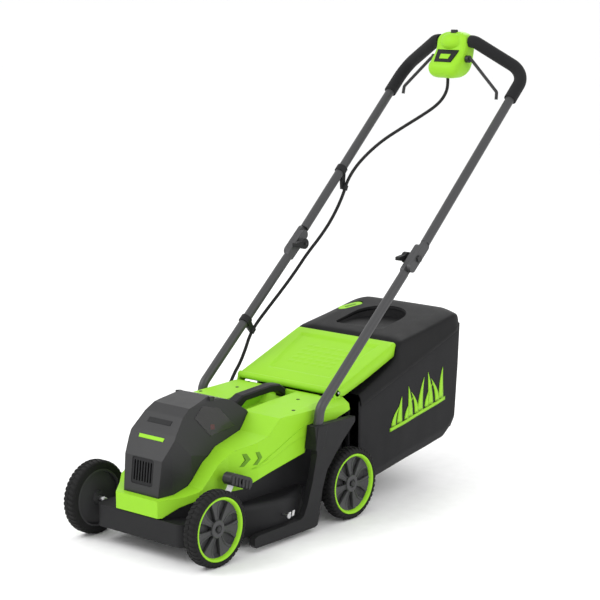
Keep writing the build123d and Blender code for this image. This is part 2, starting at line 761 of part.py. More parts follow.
def plate(hand, near_x, far_x, shift):
    """Flattened tube end with the bolt's hole, between two distances from the centre plane."""
    with BuildPart() as flat:
        with BuildSketch(side(hand * near_x)):
            with Locations(slope_point(FOLD_PIVOT, shift)):
                SlotOverall(PLATE_LEN, 24, rotation=degrees(FOLD_SLOPE))
            with Locations(FOLD_PIVOT):
                Circle(BOLT_R + 0.05, mode=Mode.SUBTRACT)
        extrude(amount=hand * (far_x - near_x))
    return flat.part


def lower_tube(hand):
    """Tube from a bracket's socket to the folding joint."""
    end = slope_point(FOLD_PIVOT, -TUBE_START)
    flat = plate(hand, JOIN_PLANE_X - PLATE_T - 0.1, JOIN_PLANE_X - 0.1, -PLATE_SHIFT)
    with BuildPart() as tube:
        with BuildLine() as line:
            FilletPolyline(at(hand * LOWER_X, *TUBE_FOOT), at(hand * LOWER_X, *TUBE_BEND),
                           at(hand * LOWER_X, *end), radius=40)
        with BuildSketch(tube_foot_plane(hand)):
            Circle(TUBE_R)
        sweep(path=line.wires()[0])
        add(flat)
    return tube


pieces["lower_tube_left"] = lower_tube(1)
pieces["lower_tube_right"] = lower_tube(-1)

UPPER_FOOT = slope_point(FOLD_PIVOT, TUBE_START)
HANDLE_ROUTE = [
    at(UPPER_X, *UPPER_FOOT), at(UPPER_X, *CORNER_UP), at(BAR_HALF, *BAR_UP), at(-BAR_HALF, *BAR_UP),
    at(-UPPER_X, *CORNER_UP), at(-UPPER_X, *UPPER_FOOT),
]
upper_plates = [
    plate(hand, JOIN_PLANE_X + 0.1, JOIN_PLANE_X + PLATE_T + 0.1, PLATE_SHIFT) for hand in (1, -1)
]
with BuildPart() as upper_handle:
    with BuildLine() as handle_line:
        FilletPolyline(*HANDLE_ROUTE, radius=[CORNER_BEND_R, BAR_BEND_R, BAR_BEND_R, CORNER_BEND_R])
    with BuildSketch(Plane(origin=HANDLE_ROUTE[0], z_dir=HANDLE_ROUTE[1] - HANDLE_ROUTE[0])):
        Circle(TUBE_R)
    sweep(path=handle_line.wires()[0])
    add(upper_plates)
pieces["upper_handle"] = upper_handle


def grip(hand):
    """Foam sleeve round the handle's corner."""
    leg = at(hand * UPPER_X, *CORNER_UP) - at(hand * UPPER_X, *UPPER_FOOT)
    start = at(hand * UPPER_X, *CORNER_UP) - leg.normalized() * 88
    end = at(hand * GRIP_END_X, *BAR_UP)
    with BuildPart() as sleeve:
        with BuildLine() as line:
            FilletPolyline(start, at(hand * UPPER_X, *CORNER_UP), at(hand * BAR_HALF, *BAR_UP), end,
                           radius=[CORNER_BEND_R, BAR_BEND_R])
        with BuildSketch(Plane(origin=start, z_dir=leg)):
            Circle(GRIP_R)
            Circle(TUBE_R + 0.05, mode=Mode.SUBTRACT)
        sweep(path=line.wires()[0])
    return sleeve


pieces["grip_left"] = grip(1)
pieces["grip_right"] = grip(-1)

with BuildPart() as handle_bolts:
    for hand in (1, -1):
        with BuildSketch(side(hand * 146, *FOLD_PIVOT)):
            Circle(BOLT_R)
        extrude(amount=hand * 48)
        with BuildSketch(side(hand * (JOIN_PLANE_X + PLATE_T + 0.15), *FOLD_PIVOT)):
            Circle(8)
        extrude(amount=hand * 4.5)
pieces["handle_bolts"] = handle_bolts


def knob(hand):
    """Wing knob on the inner end of a fold bolt."""
    with BuildPart() as wing:
        with BuildSketch(side(hand * 149, *FOLD_PIVOT)):
            Circle(13)
            with BuildLine():
                Polyline((-8, -8), (-8, 8), (-34, 5), (-34, -3), close=True)
            make_face()
        extrude(amount=hand * 13)
        chamfer(wing.edges().group_by(Axis.X)[0 if hand > 0 else -1], 1)
        with BuildSketch(side(hand * 162, *FOLD_PIVOT)):
            Circle(9)
        extrude(amount=hand * 6.4)
        with BuildSketch(side(hand * 140, *FOLD_PIVOT)):
            Circle(BOLT_R + RUN_GAP)
        extrude(amount=hand * 40, mode=Mode.SUBTRACT)
    return wing


pieces["knob_left"] = knob(1)
pieces["knob_right"] = knob(-1)


# --- Switch box and bail -----------------------------------------------------------------------

BOX_SIDE = [
    (1104, 1056), (1094, 1066), (1066, 1064), (1048, 1044), (1016, 990), (1018, 966), (1036, 951),
    (1078, 962), (1100, 986), (1112, 1024),
]


def box_form(inset):
    """Outer form of the switch box, drawn in by inset."""
    half_outline = [(BOX_HALF, 990), (BOX_HALF, 1046), (32, 1072)]
    lower = [(26, 944), (40, 962)]
    with BuildPart() as form:
        with BuildSketch(side()):
            with BuildLine():
                Polyline(*drawn_in(BOX_SIDE, inset), close=True)
            make_face()
        extrude(amount=BOX_HALF - inset, both=True)
        with BuildSketch(across(900)):
            with BuildLine():
                Polyline(*drawn_in(mirrored(lower + half_outline), inset), close=True)
            make_face()
        extrude(amount=-400, mode=Mode.INTERSECT)
    return form.part


box_outer = box_form(0.0)
box_inner = box_form(SHELL)
split_line = [(BAR_UP[0] + 30, BAR_UP[1] + 60), BAR_UP, BAIL_PIVOT, (1052, 940), (1200, 900), (1200, 1100)]
split_tool = prism(split_line, 80)

box_shells = {}
for shell_name, split_mode in (("switch_box_front", Mode.SUBTRACT), ("switch_box_back", Mode.INTERSECT)):
    with BuildPart() as shell:
        add(box_outer)
        add(box_inner, mode=Mode.SUBTRACT)
        add(split_tool, mode=split_mode)
        with BuildSketch(side(-100)):
            with Locations(BAR_UP):
                Circle(TUBE_R + 0.1)
            with Locations(BAIL_PIVOT):
                Circle(BAIL_R + RUN_GAP)
        extrude(amount=200, mode=Mode.SUBTRACT)
        with BuildSketch(level(940, 1052)):
            Circle(CABLE_R + 1.2)
        extrude(amount=20, mode=Mode.SUBTRACT)
        if shell_name == "switch_box_front":
            with BuildSketch(level(1040, 1078)):
                Circle(9.3)
            extrude(amount=40, mode=Mode.SUBTRACT)
    box_shells[shell_name] = shell
    pieces[shell_name] = shell

with BuildPart() as lock_button:
    with BuildSketch(level(1058, 1078)):
        Circle(9.0)
    extrude(amount=12)
    fillet(lock_button.edges().group_by(Axis.Z)[-1], 2)
pieces["lock_button"] = lock_button

BAIL_END = (1061.0, 924.0)
BAIL_TIP = (1058.0, 906.0)
BAIL_ROUTE = [
    at(-142, *BAIL_TIP), at(-141, *BAIL_END), at(-60, *BAIL_PIVOT), at(60, *BAIL_PIVOT),
    at(141, *BAIL_END), at(142, *BAIL_TIP),
]
with BuildPart() as bail_lever:
    with BuildLine() as bail_line:
        FilletPolyline(*BAIL_ROUTE, radius=8.0)
    with BuildSketch(Plane(origin=BAIL_ROUTE[0], z_dir=BAIL_ROUTE[1] - BAIL_ROUTE[0])):
        Circle(BAIL_R)
    sweep(path=bail_line.wires()[0])
    for hand in (1, -1):
        with BuildSketch(side(hand * (BOX_HALF + 0.8), *BAIL_PIVOT)):
            Circle(9)
        extrude(amount=hand * 9)
pieces["bail_lever"] = bail_lever


# --- Cable -------------------------------------------------------------------------------------

CABLE_UPPER = [
    at(0, 1052, 960), at(-1, 1057, 932), at(-9, 1051, 905), at(-24, 1039, 883), at(-50, 1022, 861),
    at(-90, 990, 829), at(-128, 946, 793), at(-157, 899, 745), at(-169, 869, 703), at(CABLE_X, 852, 664),
    at(CABLE_X, 812, 613), at(CABLE_X, 768, 574), at(CABLE_X, 713.4, 535.3),
]
CABLE_LOWER = [
    at(CABLE_X, 712.6, 534.7), at(CABLE_X, 673, 500), at(CABLE_X, 624, 462), at(CABLE_X, 574, 426),
    at(CABLE_X, 524, 389), at(CABLE_X, 502, 364), at(CABLE_X, 488, 336), at(CABLE_X + 3, 465, 306),
    at(CABLE_X + 10, 434, 284), at(CABLE_X + 22, 404, 262),
]


def fitted_radii(route):
    """Each corner's radius, as large as its two runs allow."""
    radii = []
    for before, here, after in zip(route, route[1:], route[2:]):
        turn = (here - before).get_angle(after - here)
        shorter = min((here - before).length, (after - here).length)
        radii.append(0.45 * shorter / abs(tan(radians(turn / 2))))
    return radii


def cable(route, label):
    """A round cable along a hand-laid route of runs and arcs."""
    radii = fitted_radii(route)
    with BuildPart() as cord:
        with BuildLine() as line:
            FilletPolyline(*route, radius=radii)
        with BuildSketch(Plane(origin=route[0], z_dir=route[1] - route[0])):
            Circle(CABLE_R)
        sweep(path=line.wires()[0])
    length = line.wires()[0].length
    expected = pi * CABLE_R**2 * length
    print(label, "length", round(length), "radii", [round(r) for r in radii],
          "volume ratio", round(cord.part.volume / expected, 4))
    return cord


def clip(tube_from, tube_to, reach, cable_from, cable_to):
    """Clamp round a handle tube that holds the cable clear of it in a closed eye."""
    tube_run = (tube_to - tube_from).normalized()
    tube_centre = tube_from + tube_run * reach
    tube_spot = (tube_centre.Y - FRONT_Y, tube_centre.Z)
    eye = (cable_from + cable_to) / 2
    tube_plane = Plane(origin=tube_centre, z_dir=tube_run)
    eye_plane = Plane(origin=eye, z_dir=cable_to - cable_from)
    with BuildPart() as clamp:
        with BuildSketch(tube_plane):
            Circle(TUBE_R + 3)
        extrude(amount=8, both=True)
        with BuildSketch(eye_plane):
            Circle(CABLE_R + 3.2)
        extrude(amount=6, both=True)
        with BuildSketch(side(tube_centre.X + 1)):
            with BuildLine():
                near = (tube_spot[0], tube_spot[1] - 2)
                far = (eye.Y - FRONT_Y, eye.Z)
                Polyline((near[0] - 8, near[1] - 7), (near[0] + 8, near[1] + 7), (far[0] + 5, far[1] + 4),
                         (far[0] - 5, far[1] - 4), close=True)
            make_face()
        extrude(amount=8)
        with BuildSketch(tube_plane):
            Circle(TUBE_R + 0.05)
        extrude(amount=40, both=True, mode=Mode.SUBTRACT)
        with BuildSketch(eye_plane):
            Circle(CABLE_R + 0.4)
        extrude(amount=12, both=True, mode=Mode.SUBTRACT)
    return clamp


pieces["upper_cable_clip"] = clip(HANDLE_ROUTE[-1], HANDLE_ROUTE[-2], 192, CABLE_UPPER[8], CABLE_UPPER[9])
pieces["lower_cable_clip"] = clip(at(-LOWER_X, *TUBE_BEND), at(-LOWER_X, *FOLD_PIVOT), 196,
                                  CABLE_LOWER[4], CABLE_LOWER[5])
pieces["cable_upper"] = cable(CABLE_UPPER, "cable_upper")
pieces["cable_lower"] = cable(CABLE_LOWER, "cable_lower")

# --- Hood and bag ------------------------------------------------------------------------------

HOOD_SIDE = [
    (437, 280), (439, 290), (448, 294), (655, 368), (658, 362), (655, 337), (592, 315), (540, 297),
    (468, 273),
]
hood_outer = prism(HOOD_SIDE, HOOD_HALF)
hood_inner = prism(drawn_in(HOOD_SIDE, SHELL), HOOD_HALF - SHELL)

with BuildPart() as rear_hood:
    add(hood_outer)
    for lift, back in ((0, 0), (-5, 0), (-10, 0)):
        add(hood_inner.moved(Location((0, back, lift))), mode=Mode.SUBTRACT)
    with BuildSketch(side()):
        with Locations(HOOD_PIVOT):
            Circle(6.0)
    extrude(amount=138, both=True)
    for hand in (1, -1):
        with BuildSketch(side(hand * 139)):
            with BuildLine():
                Polyline((430, 262), (430, 300), (458, 300), (464, 262), close=True)
            make_face()
        extrude(amount=hand * 12, mode=Mode.SUBTRACT)
    with BuildSketch(side(-160)):
        with Locations(HOOD_PIVOT):
            Circle(PIN_R + RUN_GAP)
    extrude(amount=320, mode=Mode.SUBTRACT)
    with BuildSketch(side(100)):
        with Locations(HOOD_PIVOT):
            Circle(10.0)
    extrude(amount=16, mode=Mode.SUBTRACT)
pieces["rear_hood"] = rear_hood

with BuildPart() as fasteners:
    with BuildSketch(side(-151)):
        with Locations(HOOD_PIVOT):
            Circle(PIN_R)
    extrude(amount=302)
    with BuildSketch(side(-DOOR_HALF + 0.5)):
        with Locations(DOOR_PIVOT):
            Circle(DOOR_PIN_R)
    extrude(amount=2 * DOOR_HALF - 1)
    for hand in (1, -1):
        with BuildSketch(side(hand * 168, BLADE_Y, 60)):
            Circle(2.5)
        extrude(amount=hand * 24)
        with BuildSketch(side(hand * (BRACKET_OUT_X + 0.02), BLADE_Y, 60)):
            Circle(6)
        extrude(amount=hand * 2.5)
pieces["fasteners"] = fasteners

with BuildPart() as hood_spring:
    with BuildSketch(side(101)):
        with Locations(HOOD_PIVOT):
            Circle(4.2)
            Circle(PIN_R + 0.05, mode=Mode.SUBTRACT)
    extrude(amount=14)
pieces["hood_spring"] = hood_spring

SEAM_FRONT = (BAG_FRONT_Y, 246.0)
SEAM_REAR = (901.0, 370.0)
BAG_SIDE = [
    SEAM_FRONT, SEAM_REAR, (913, 366), (908, 270), (892, 118), (884, 104), (872, 100), (700, 76), (587, 57),
    (BAG_FRONT_Y, 50),
]
COVER_SIDE = [(BAG_FRONT_Y, 246.4), (BAG_FRONT_Y, 262), (545, 286), (592, 303), (652, 328), (665, 366),
              (676, 374), (880, 412), (900, 409), (914, 394), (919, 378), (916, 367), (901, 370.8)]
MOUTH_HALF = 124.0
MOUTH_LOW = 62.0
MOUTH_HIGH = 236.0

bag_outer = prism(BAG_SIDE, BAG_HALF)
bag_inner = prism(drawn_in(BAG_SIDE, SHELL), BAG_HALF - SHELL)
LID_SLOPE = (880.0 - 676.0, 412.0 - 374.0)
LID_SECTION = [(BAG_HALF, 260), (BAG_HALF, 14), (112, 0), (-112, 0), (-BAG_HALF, 14), (-BAG_HALF, 260)]
top_slope = Plane(origin=at(0, 676, 374), x_dir=(1, 0, 0), z_dir=(0, *LID_SLOPE))
flap_plane = Plane(origin=at(-112, 812, 374 + (812 - 676) * LID_SLOPE[1] / LID_SLOPE[0]), x_dir=(1, 0, 0),
                   z_dir=(0, -LID_SLOPE[1], LID_SLOPE[0]))


def lid_form(inset):
    """Outer form of the bag's cover, drawn in by inset."""
    with BuildPart() as form:
        with BuildSketch(side()):
            with BuildLine():
                Polyline(*drawn_in(COVER_SIDE, inset), close=True)
            make_face()
        extrude(amount=BAG_HALF, both=True)
        with BuildSketch(top_slope):
            with BuildLine():
                Polyline(*drawn_in(LID_SECTION, inset), close=True)
            make_face()
        extrude(amount=500, both=True, mode=Mode.INTERSECT)
    return form.part


FLAP_TURN = 64.0
FLAP_PIN_R = 0.75
FLAP_REACH = 23.5
slope_len = hypot(*LID_SLOPE)
FLAP_HINGE = (
    flap_plane.origin.Y - FRONT_Y + (-FLAP_REACH * LID_SLOPE[0] + SHELL / 2 * LID_SLOPE[1]) / slope_len,
    flap_plane.origin.Z + (-FLAP_REACH * LID_SLOPE[1] - SHELL / 2 * LID_SLOPE[0]) / slope_len,
)
lid_outer = lid_form(0.0)
lid_inner = lid_form(SHELL)
HAND_Y = 738.0
HAND_HALF = 62.0
HAND_DISH = [(-HAND_HALF, 384), (-HAND_HALF, 340), (HAND_HALF, 340), (HAND_HALF, 384), (HAND_HALF - 3, 384),
             (HAND_HALF - 3, 343), (-HAND_HALF + 3, 343), (-HAND_HALF + 3, 384)]
HAND_BAR = [(HAND_Y - 28, 377), (HAND_Y - 12, 380), (HAND_Y - 12, 364), (HAND_Y - 28, 360)]

with BuildPart() as bag_body:
    add(bag_outer)
    for lift, back in ((0, 0), (9, 0)):
        add(bag_inner.moved(Location((0, back, lift))), mode=Mode.SUBTRACT)
    with BuildSketch(across(BAG_FRONT_Y - 10)):
        with Locations((0, (MOUTH_LOW + MOUTH_HIGH) / 2)):
            Rectangle(2 * MOUTH_HALF, MOUTH_HIGH - MOUTH_LOW)
    extrude(amount=-30, mode=Mode.SUBTRACT)
pieces["bag_body"] = bag_body

with BuildPart() as bag_cover:
    add(lid_outer)
    for lift, back in ((0, 0), (-6, 0), (-14, 0)):
        add(lid_inner.moved(Location((0, back, lift))), mode=Mode.SUBTRACT)
    with BuildSketch(level(330, HAND_Y)):
        Rectangle(2 * HAND_HALF, 56)
    extrude(amount=100, mode=Mode.SUBTRACT)
    with BuildSketch(across(HAND_Y - 28, 0)):
        with BuildLine():
            Polyline(*HAND_DISH, close=True)
        make_face()
    extrude(amount=-56)
    with BuildSketch(side(-HAND_HALF)):
        with BuildLine():
            Polyline(*HAND_BAR, close=True)
        make_face()
    extrude(amount=2 * HAND_HALF)
    with BuildSketch(level(380, 812, -112)):
        SlotOverall(64, 24, rotation=FLAP_TURN)
    extrude(amount=40, mode=Mode.SUBTRACT)
    with BuildSketch(side(-139, *FLAP_HINGE)):
        Circle(FLAP_PIN_R)
    extrude(amount=37)
pieces["bag_cover"] = bag_cover

with BuildPart() as bag_indicator:
    with BuildSketch(flap_plane):
        SlotOverall(62.5, 22.5, rotation=FLAP_TURN)
    extrude(amount=-SHELL)
    with BuildSketch(side(-150, *FLAP_HINGE)):
        Circle(FLAP_PIN_R + RUN_GAP)
    extrude(amount=100, mode=Mode.SUBTRACT)
pieces["bag_indicator"] = bag_indicator

with BuildPart() as bag_frame:
    with BuildSketch(across(BAG_FRONT_Y - 0.1)):
        with Locations((0, (MOUTH_LOW + MOUTH_HIGH) / 2)):
            RectangleRounded(2 * MOUTH_HALF + 10, MOUTH_HIGH - MOUTH_LOW + 10, 12)
            RectangleRounded(2 * MOUTH_HALF - 6, MOUTH_HIGH - MOUTH_LOW - 6, 8, mode=Mode.SUBTRACT)
    extrude(amount=7)
pieces["bag_frame"] = bag_frame
for name, piece in pieces.items():
    piece.part.label = name
    export_step(piece.part, f"parts/{name}.step")
print(len(pieces), "pieces written")
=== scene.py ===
import json
from math import cos, pi, radians, sin

import bpy
import numpy as np
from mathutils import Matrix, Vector, noise
from mathutils.bvhtree import BVHTree


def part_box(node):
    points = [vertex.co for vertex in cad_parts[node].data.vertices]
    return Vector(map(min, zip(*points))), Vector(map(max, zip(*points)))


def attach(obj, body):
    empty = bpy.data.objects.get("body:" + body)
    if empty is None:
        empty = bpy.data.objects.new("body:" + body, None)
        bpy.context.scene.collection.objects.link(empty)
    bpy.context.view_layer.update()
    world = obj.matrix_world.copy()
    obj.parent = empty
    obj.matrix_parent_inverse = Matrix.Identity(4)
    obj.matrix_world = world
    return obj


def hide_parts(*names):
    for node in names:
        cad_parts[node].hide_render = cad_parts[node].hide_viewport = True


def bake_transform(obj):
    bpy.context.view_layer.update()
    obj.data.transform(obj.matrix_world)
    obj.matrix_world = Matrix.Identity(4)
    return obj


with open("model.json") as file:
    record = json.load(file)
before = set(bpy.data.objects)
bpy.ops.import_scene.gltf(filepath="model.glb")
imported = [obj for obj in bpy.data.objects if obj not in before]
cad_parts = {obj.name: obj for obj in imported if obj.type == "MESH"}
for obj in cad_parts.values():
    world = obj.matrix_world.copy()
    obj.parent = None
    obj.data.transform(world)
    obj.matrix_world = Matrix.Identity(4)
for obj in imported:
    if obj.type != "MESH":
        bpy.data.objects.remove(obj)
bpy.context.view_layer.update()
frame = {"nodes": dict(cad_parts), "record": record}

tyre_low, tyre_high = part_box("front_left_tyre")
FRONT_Y = (tyre_low.y + tyre_high.y) / 2
WHEEL_R = (tyre_high.z - tyre_low.z) / 2
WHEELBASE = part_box("rear_left_tyre")[0].y - tyre_low.y


def P(x, y, z):
    """A point given in millimetres, with y measured from the front wheels' centre."""
    return Vector((x / 1000, FRONT_Y + y / 1000, z / 1000))


# --- Materials ---------------------------------------------------------------------------------

CLOUD_SCALE = 35.0
GLOSS_SWING = 0.07
GRAIN_DEPTH = 0.0004
THREAD_STRETCH = 0.12
SHARP_EDGE = radians(32)


def surface(name, colour, rough=0.5, metal=0.0, grain=0.15, grain_scale=1400.0, mottle=0.05,
            edge=0.0012, coat=0.0, specular=0.5, alpha=1.0, weave=0.0, sheen=0.0):
    """A procedural finish: mottled colour, uneven gloss, fine grain or weave, softly rounded edges."""
    made = bpy.data.materials.new(name)
    made.use_nodes = True
    nodes, links = made.node_tree.nodes, made.node_tree.links
    shader = nodes["Principled BSDF"]
    place = nodes.new("ShaderNodeTexCoord")
    cloud = nodes.new("ShaderNodeTexNoise")
    cloud.inputs["Scale"].default_value = CLOUD_SCALE
    cloud.inputs["Detail"].default_value = 5.0
    links.new(place.outputs["Object"], cloud.inputs["Vector"])
    tint = nodes.new("ShaderNodeMix")
    tint.data_type = "RGBA"
    tint.inputs["A"].default_value = (*[c * (1 - mottle) for c in colour], 1)
    tint.inputs["B"].default_value = (*[min(1, c * (1 + mottle)) for c in colour], 1)
    links.new(cloud.outputs["Fac"], tint.inputs["Factor"])
    links.new(tint.outputs["Result"], shader.inputs["Base Color"])
    gloss = nodes.new("ShaderNodeMapRange")
    gloss.inputs["To Min"].default_value = max(0.02, rough - GLOSS_SWING)
    gloss.inputs["To Max"].default_value = min(1.0, rough + GLOSS_SWING)
    links.new(cloud.outputs["Fac"], gloss.inputs["Value"])
    links.new(gloss.outputs["Result"], shader.inputs["Roughness"])
    soft = nodes.new("ShaderNodeBevel")
    soft.samples = 4
    soft.inputs["Radius"].default_value = edge
    fine = nodes.new("ShaderNodeTexNoise")
    fine.inputs["Scale"].default_value = grain_scale
    fine.inputs["Detail"].default_value = 3.0
    links.new(place.outputs["Object"], fine.inputs["Vector"])
    bump = nodes.new("ShaderNodeBump")
    bump.inputs["Strength"].default_value = grain
    bump.inputs["Distance"].default_value = GRAIN_DEPTH
    height = fine.outputs["Fac"]
    if weave:
        threads = []
        for stretch in ((1.0, THREAD_STRETCH, 1.0), (THREAD_STRETCH, 1.0, THREAD_STRETCH)):
            squeeze = nodes.new("ShaderNodeMapping")
            squeeze.inputs["Scale"].default_value = stretch
            links.new(place.outputs["Object"], squeeze.inputs["Vector"])
            thread = nodes.new("ShaderNodeTexNoise")
            thread.inputs["Scale"].default_value = weave
            thread.inputs["Detail"].default_value = 2.0
            links.new(squeeze.outputs["Vector"], thread.inputs["Vector"])
            threads.append(thread.outputs["Fac"])
        cross = nodes.new("ShaderNodeMath")
        cross.operation = "ADD"
        links.new(threads[0], cross.inputs[0])
        links.new(threads[1], cross.inputs[1])
        height = cross.outputs["Value"]
    links.new(height, bump.inputs["Height"])
    links.new(soft.outputs["Normal"], bump.inputs["Normal"])
    links.new(bump.outputs["Normal"], shader.inputs["Normal"])
    shader.inputs["Metallic"].default_value = metal
    shader.inputs["Coat Weight"].default_value = coat
    shader.inputs["Coat Roughness"].default_value = 0.25
    shader.inputs["Specular IOR Level"].default_value = specular
    shader.inputs["Sheen Weight"].default_value = sheen
    shader.inputs["Alpha"].default_value = alpha
    return made


LIME = surface("lime", (0.27, 0.58, 0.022), 0.45, grain=0.10, mottle=0.03, edge=0.002, specular=0.18)
BLACK = surface("black", (0.010, 0.010, 0.011), 0.55, grain=0.3, specular=0.22, edge=0.0014)
CHARCOAL = surface("charcoal", (0.020, 0.020, 0.021), 0.42, grain=0.15, specular=0.25, edge=0.002,
                   coat=0.12)
RIM_PLASTIC = surface("rim_plastic", (0.046, 0.046, 0.048), 0.45, grain=0.2, specular=0.3, edge=0.001)
RUBBER = surface("rubber_black", (0.010, 0.010, 0.010), 0.6, grain=0.2, specular=0.2)
TYRE = surface("tyre_rubber", (0.010, 0.010, 0.010), 0.75, grain=0.4, specular=0.2, edge=0.0008)
FOAM = surface("foam", (0.012, 0.012, 0.013), 0.85, grain=0.8, grain_scale=900, specular=0.2, sheen=0.05)
TUBE = surface("tube_paint", (0.060, 0.060, 0.062), 0.38, metal=0.25, grain=0.25, grain_scale=2600,
               specular=0.25)
STEEL = surface("steel", (0.50, 0.50, 0.51), 0.32, metal=1.0, grain=0.1)
BLADE = surface("blade_steel", (0.32, 0.32, 0.34), 0.35, metal=1.0, grain=0.2)
FABRIC = surface("fabric_black", (0.017, 0.017, 0.018), 0.9, grain=0.7, weave=900.0, specular=0.15,
                 sheen=0.05, mottle=0.14)
SMOKE = surface("smoke_plastic", (0.035, 0.034, 0.034), 0.2, grain=0.03, specular=0.5, alpha=0.72)
RED = surface("red", (0.60, 0.02, 0.015), 0.35, grain=0.1)
MOTOR = surface("copper_iron", (0.20, 0.15, 0.12), 0.5, metal=0.6, grain=0.3)
WHITE = surface("white_print", (0.78, 0.78, 0.78), 0.6, grain=0.05)
DEEP_LIME = surface("deep_lime", (0.11, 0.26, 0.012), 0.5, grain=0.10, mottle=0.04, specular=0.2)
LID_PLASTIC = surface("lid_plastic", (0.0085, 0.0085, 0.009), 0.55, grain=0.25, specular=0.13, edge=0.002)
FINISHES = {
    "lime": LIME, "black": BLACK, "charcoal": CHARCOAL, "rubber_black": RUBBER, "tyre_rubber": TYRE,
    "foam": FOAM, "tube_paint": TUBE, "steel": STEEL, "blade_steel": BLADE, "fabric_black": FABRIC,
    "smoke_plastic": SMOKE, "red": RED, "copper_iron": MOTOR,
}
SLOT_OF = {row["node"]: row["material_slot"] for row in frame["record"]["subparts"]}
for node_name, node in frame["nodes"].items():
    node.data.materials.clear()
    node.data.materials.append(FINISHES[SLOT_OF[node_name]])
    node.data.polygons.foreach_set("use_smooth", [True] * len(node.data.polygons))
    node.data.set_sharp_from_angle(angle=SHARP_EDGE)


# --- Building helpers --------------------------------------------------------------------------

def piece(name, points, faces, finish, body, stands_for=(), smooth=35.0, subdivide=0, slot_name=None):
    """A new mesh piece, with points in millimetres, that rides on a CAD body."""
    mesh = bpy.data.meshes.new(name)
    mesh.from_pydata([P(*p) for p in points], [], faces)
    mesh.validate()
    mesh.polygons.foreach_set("use_smooth", [True] * len(mesh.polygons))
    mesh.set_sharp_from_angle(angle=radians(smooth))
    mesh.materials.append(finish)
    made = bpy.data.objects.new(name, mesh)
    bpy.context.scene.collection.objects.link(made)
    if subdivide:
        finer = made.modifiers.new("finer", "SUBSURF")
        finer.levels = finer.render_levels = subdivide
    if body:
        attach(made, body)
    if stands_for:
        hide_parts(*stands_for)
    return made


def loft(sections, closed=True, capped=True):
    """Points and faces that join rings, or open strips, of equal point count."""
    count = len(sections[0])
    points = [p for ring in sections for p in ring]
    faces = []
    last = count if closed else count - 1
    for s in range(len(sections) - 1):
        for i in range(last):
            a, b = s * count + i, s * count + (i + 1) % count
            faces.append((a, b, b + count, a + count))
    if capped and closed:
        faces.append(tuple(reversed(range(count))))
        faces.append(tuple(range((len(sections) - 1) * count, len(sections) * count)))
    return points, faces


def turned(profile, x_sign, centre_y, centre_z, steps=96):
    """Points and faces of a profile of (x, radius) pairs turned about a crosswise axis."""
    rings = []
    for k in range(steps):
        a = 2 * pi * k / steps
        rings.append([(x_sign * x, centre_y + r * cos(a), centre_z + r * sin(a)) for x, r in profile])
    points, faces = loft(rings, closed=False, capped=False)
    count = len(profile)
    base = (steps - 1) * count
    faces += [(base + i, base + i + 1, i + 1, i) for i in range(count - 1)]
    return points, faces


def merged(*parts):
    """Several (points, faces) sets as one."""
    points, faces = [], []
    for part_points, part_faces in parts:
        shift = len(points)
        points += part_points
        faces += [tuple(i + shift for i in f) for f in part_faces]
    return points, faces


def block(outline, x0, x1):
    """A prism with a side outline of (y, z) points between two x planes."""
    return loft([[(x0, y, z) for y, z in outline], [(x1, y, z) for y, z in outline]])


def tube(path, radius, around=20):
    """Points and faces of a round tube along points in millimetres."""
    path = [Vector(p) for p in path]
    normal = None
    rings = []
    for i, here in enumerate(path):
        ahead = (path[min(i + 1, len(path) - 1)] - path[max(i - 1, 0)]).normalized()
        if normal is None:
            normal = ahead.orthogonal().normalized()
        normal = (normal - ahead * normal.dot(ahead)).normalized()
        other = ahead.cross(normal)
        ring = []
        for k in range(around):
            a = 2 * pi * k / around
            ring.append(tuple(here + (normal * cos(a) + other * sin(a)) * radius))
        rings.append(ring)
    return loft(rings)


def cut(target, points, faces):
    """Cut a closed shape, given in millimetres, out of a piece after its own modifiers."""
    mesh = bpy.data.meshes.new("cutter")
    mesh.from_pydata([P(*p) for p in points], [], faces)
    tool = bpy.data.objects.new("cutter", mesh)
    bpy.context.scene.collection.objects.link(tool)
    knife = target.modifiers.new("knife", "BOOLEAN")
    knife.object = tool
    knife.operation = "DIFFERENCE"
    knife.solver = "EXACT"
    bpy.context.view_layer.update()
    shaped = bpy.data.meshes.new_from_object(target.evaluated_get(bpy.context.evaluated_depsgraph_get()))
    target.modifiers.clear()
    target.data = shaped
    bpy.data.objects.remove(tool)
    shaped.polygons.foreach_set("use_smooth", [True] * len(shaped.polygons))
    shaped.set_sharp_from_angle(angle=radians(40))


def thicken(target, name, millimetres, offset):
    """Give a sheet its thickness: inwards for an offset of -1, both ways for 0."""
    skin = target.modifiers.new(name, "SOLIDIFY")
    skin.thickness = millimetres / 1000
    skin.offset = offset


CLEAR_LEFT = 400.0


def reach(node_names, start, aim_at):
    """Where a straight line in millimetres first meets any of the named CAD pieces, in metres."""
    begin = P(*start)
    way = (P(*aim_at) - begin).normalized()
    best = None
    for node_name in node_names:
        hit, spot = frame["nodes"][node_name].ray_cast(begin, way)[:2]
        if hit and (best is None or (spot - begin).length < (best - begin).length):
            best = spot
    return best


def plate(name, finish, body, nodes, outline, proud, detail=6):
    """A thin plate of (y, z) outline laid against the left side of CAD pieces."""
    edge = []
    for (y0, z0), (y1, z1) in zip(outline, outline[1:] + outline[:1]):
        for k in range(detail):
            edge.append((y0 + (y1 - y0) * k / detail, z0 + (z1 - z0) * k / detail))
    mid = (sum(y for y, z in edge) / len(edge), sum(z for y, z in edge) / len(edge))
    rings = []
    for share in (1.0, 0.66, 0.33, 0.01):
        ring = []
        for y, z in edge:
            y, z = mid[0] + (y - mid[0]) * share, mid[1] + (z - mid[1]) * share
            spot = reach(nodes, (CLEAR_LEFT, y, z), (0, y, z))
            ring.append((spot.x * 1000 + proud, y, z))
        rings.append(ring)
    skirt = [(x - proud - 0.8, y, z) for x, y, z in rings[0]]
    points, faces = loft([skirt] + rings, capped=False)
    piece(name, points, faces, finish, body, smooth=30)


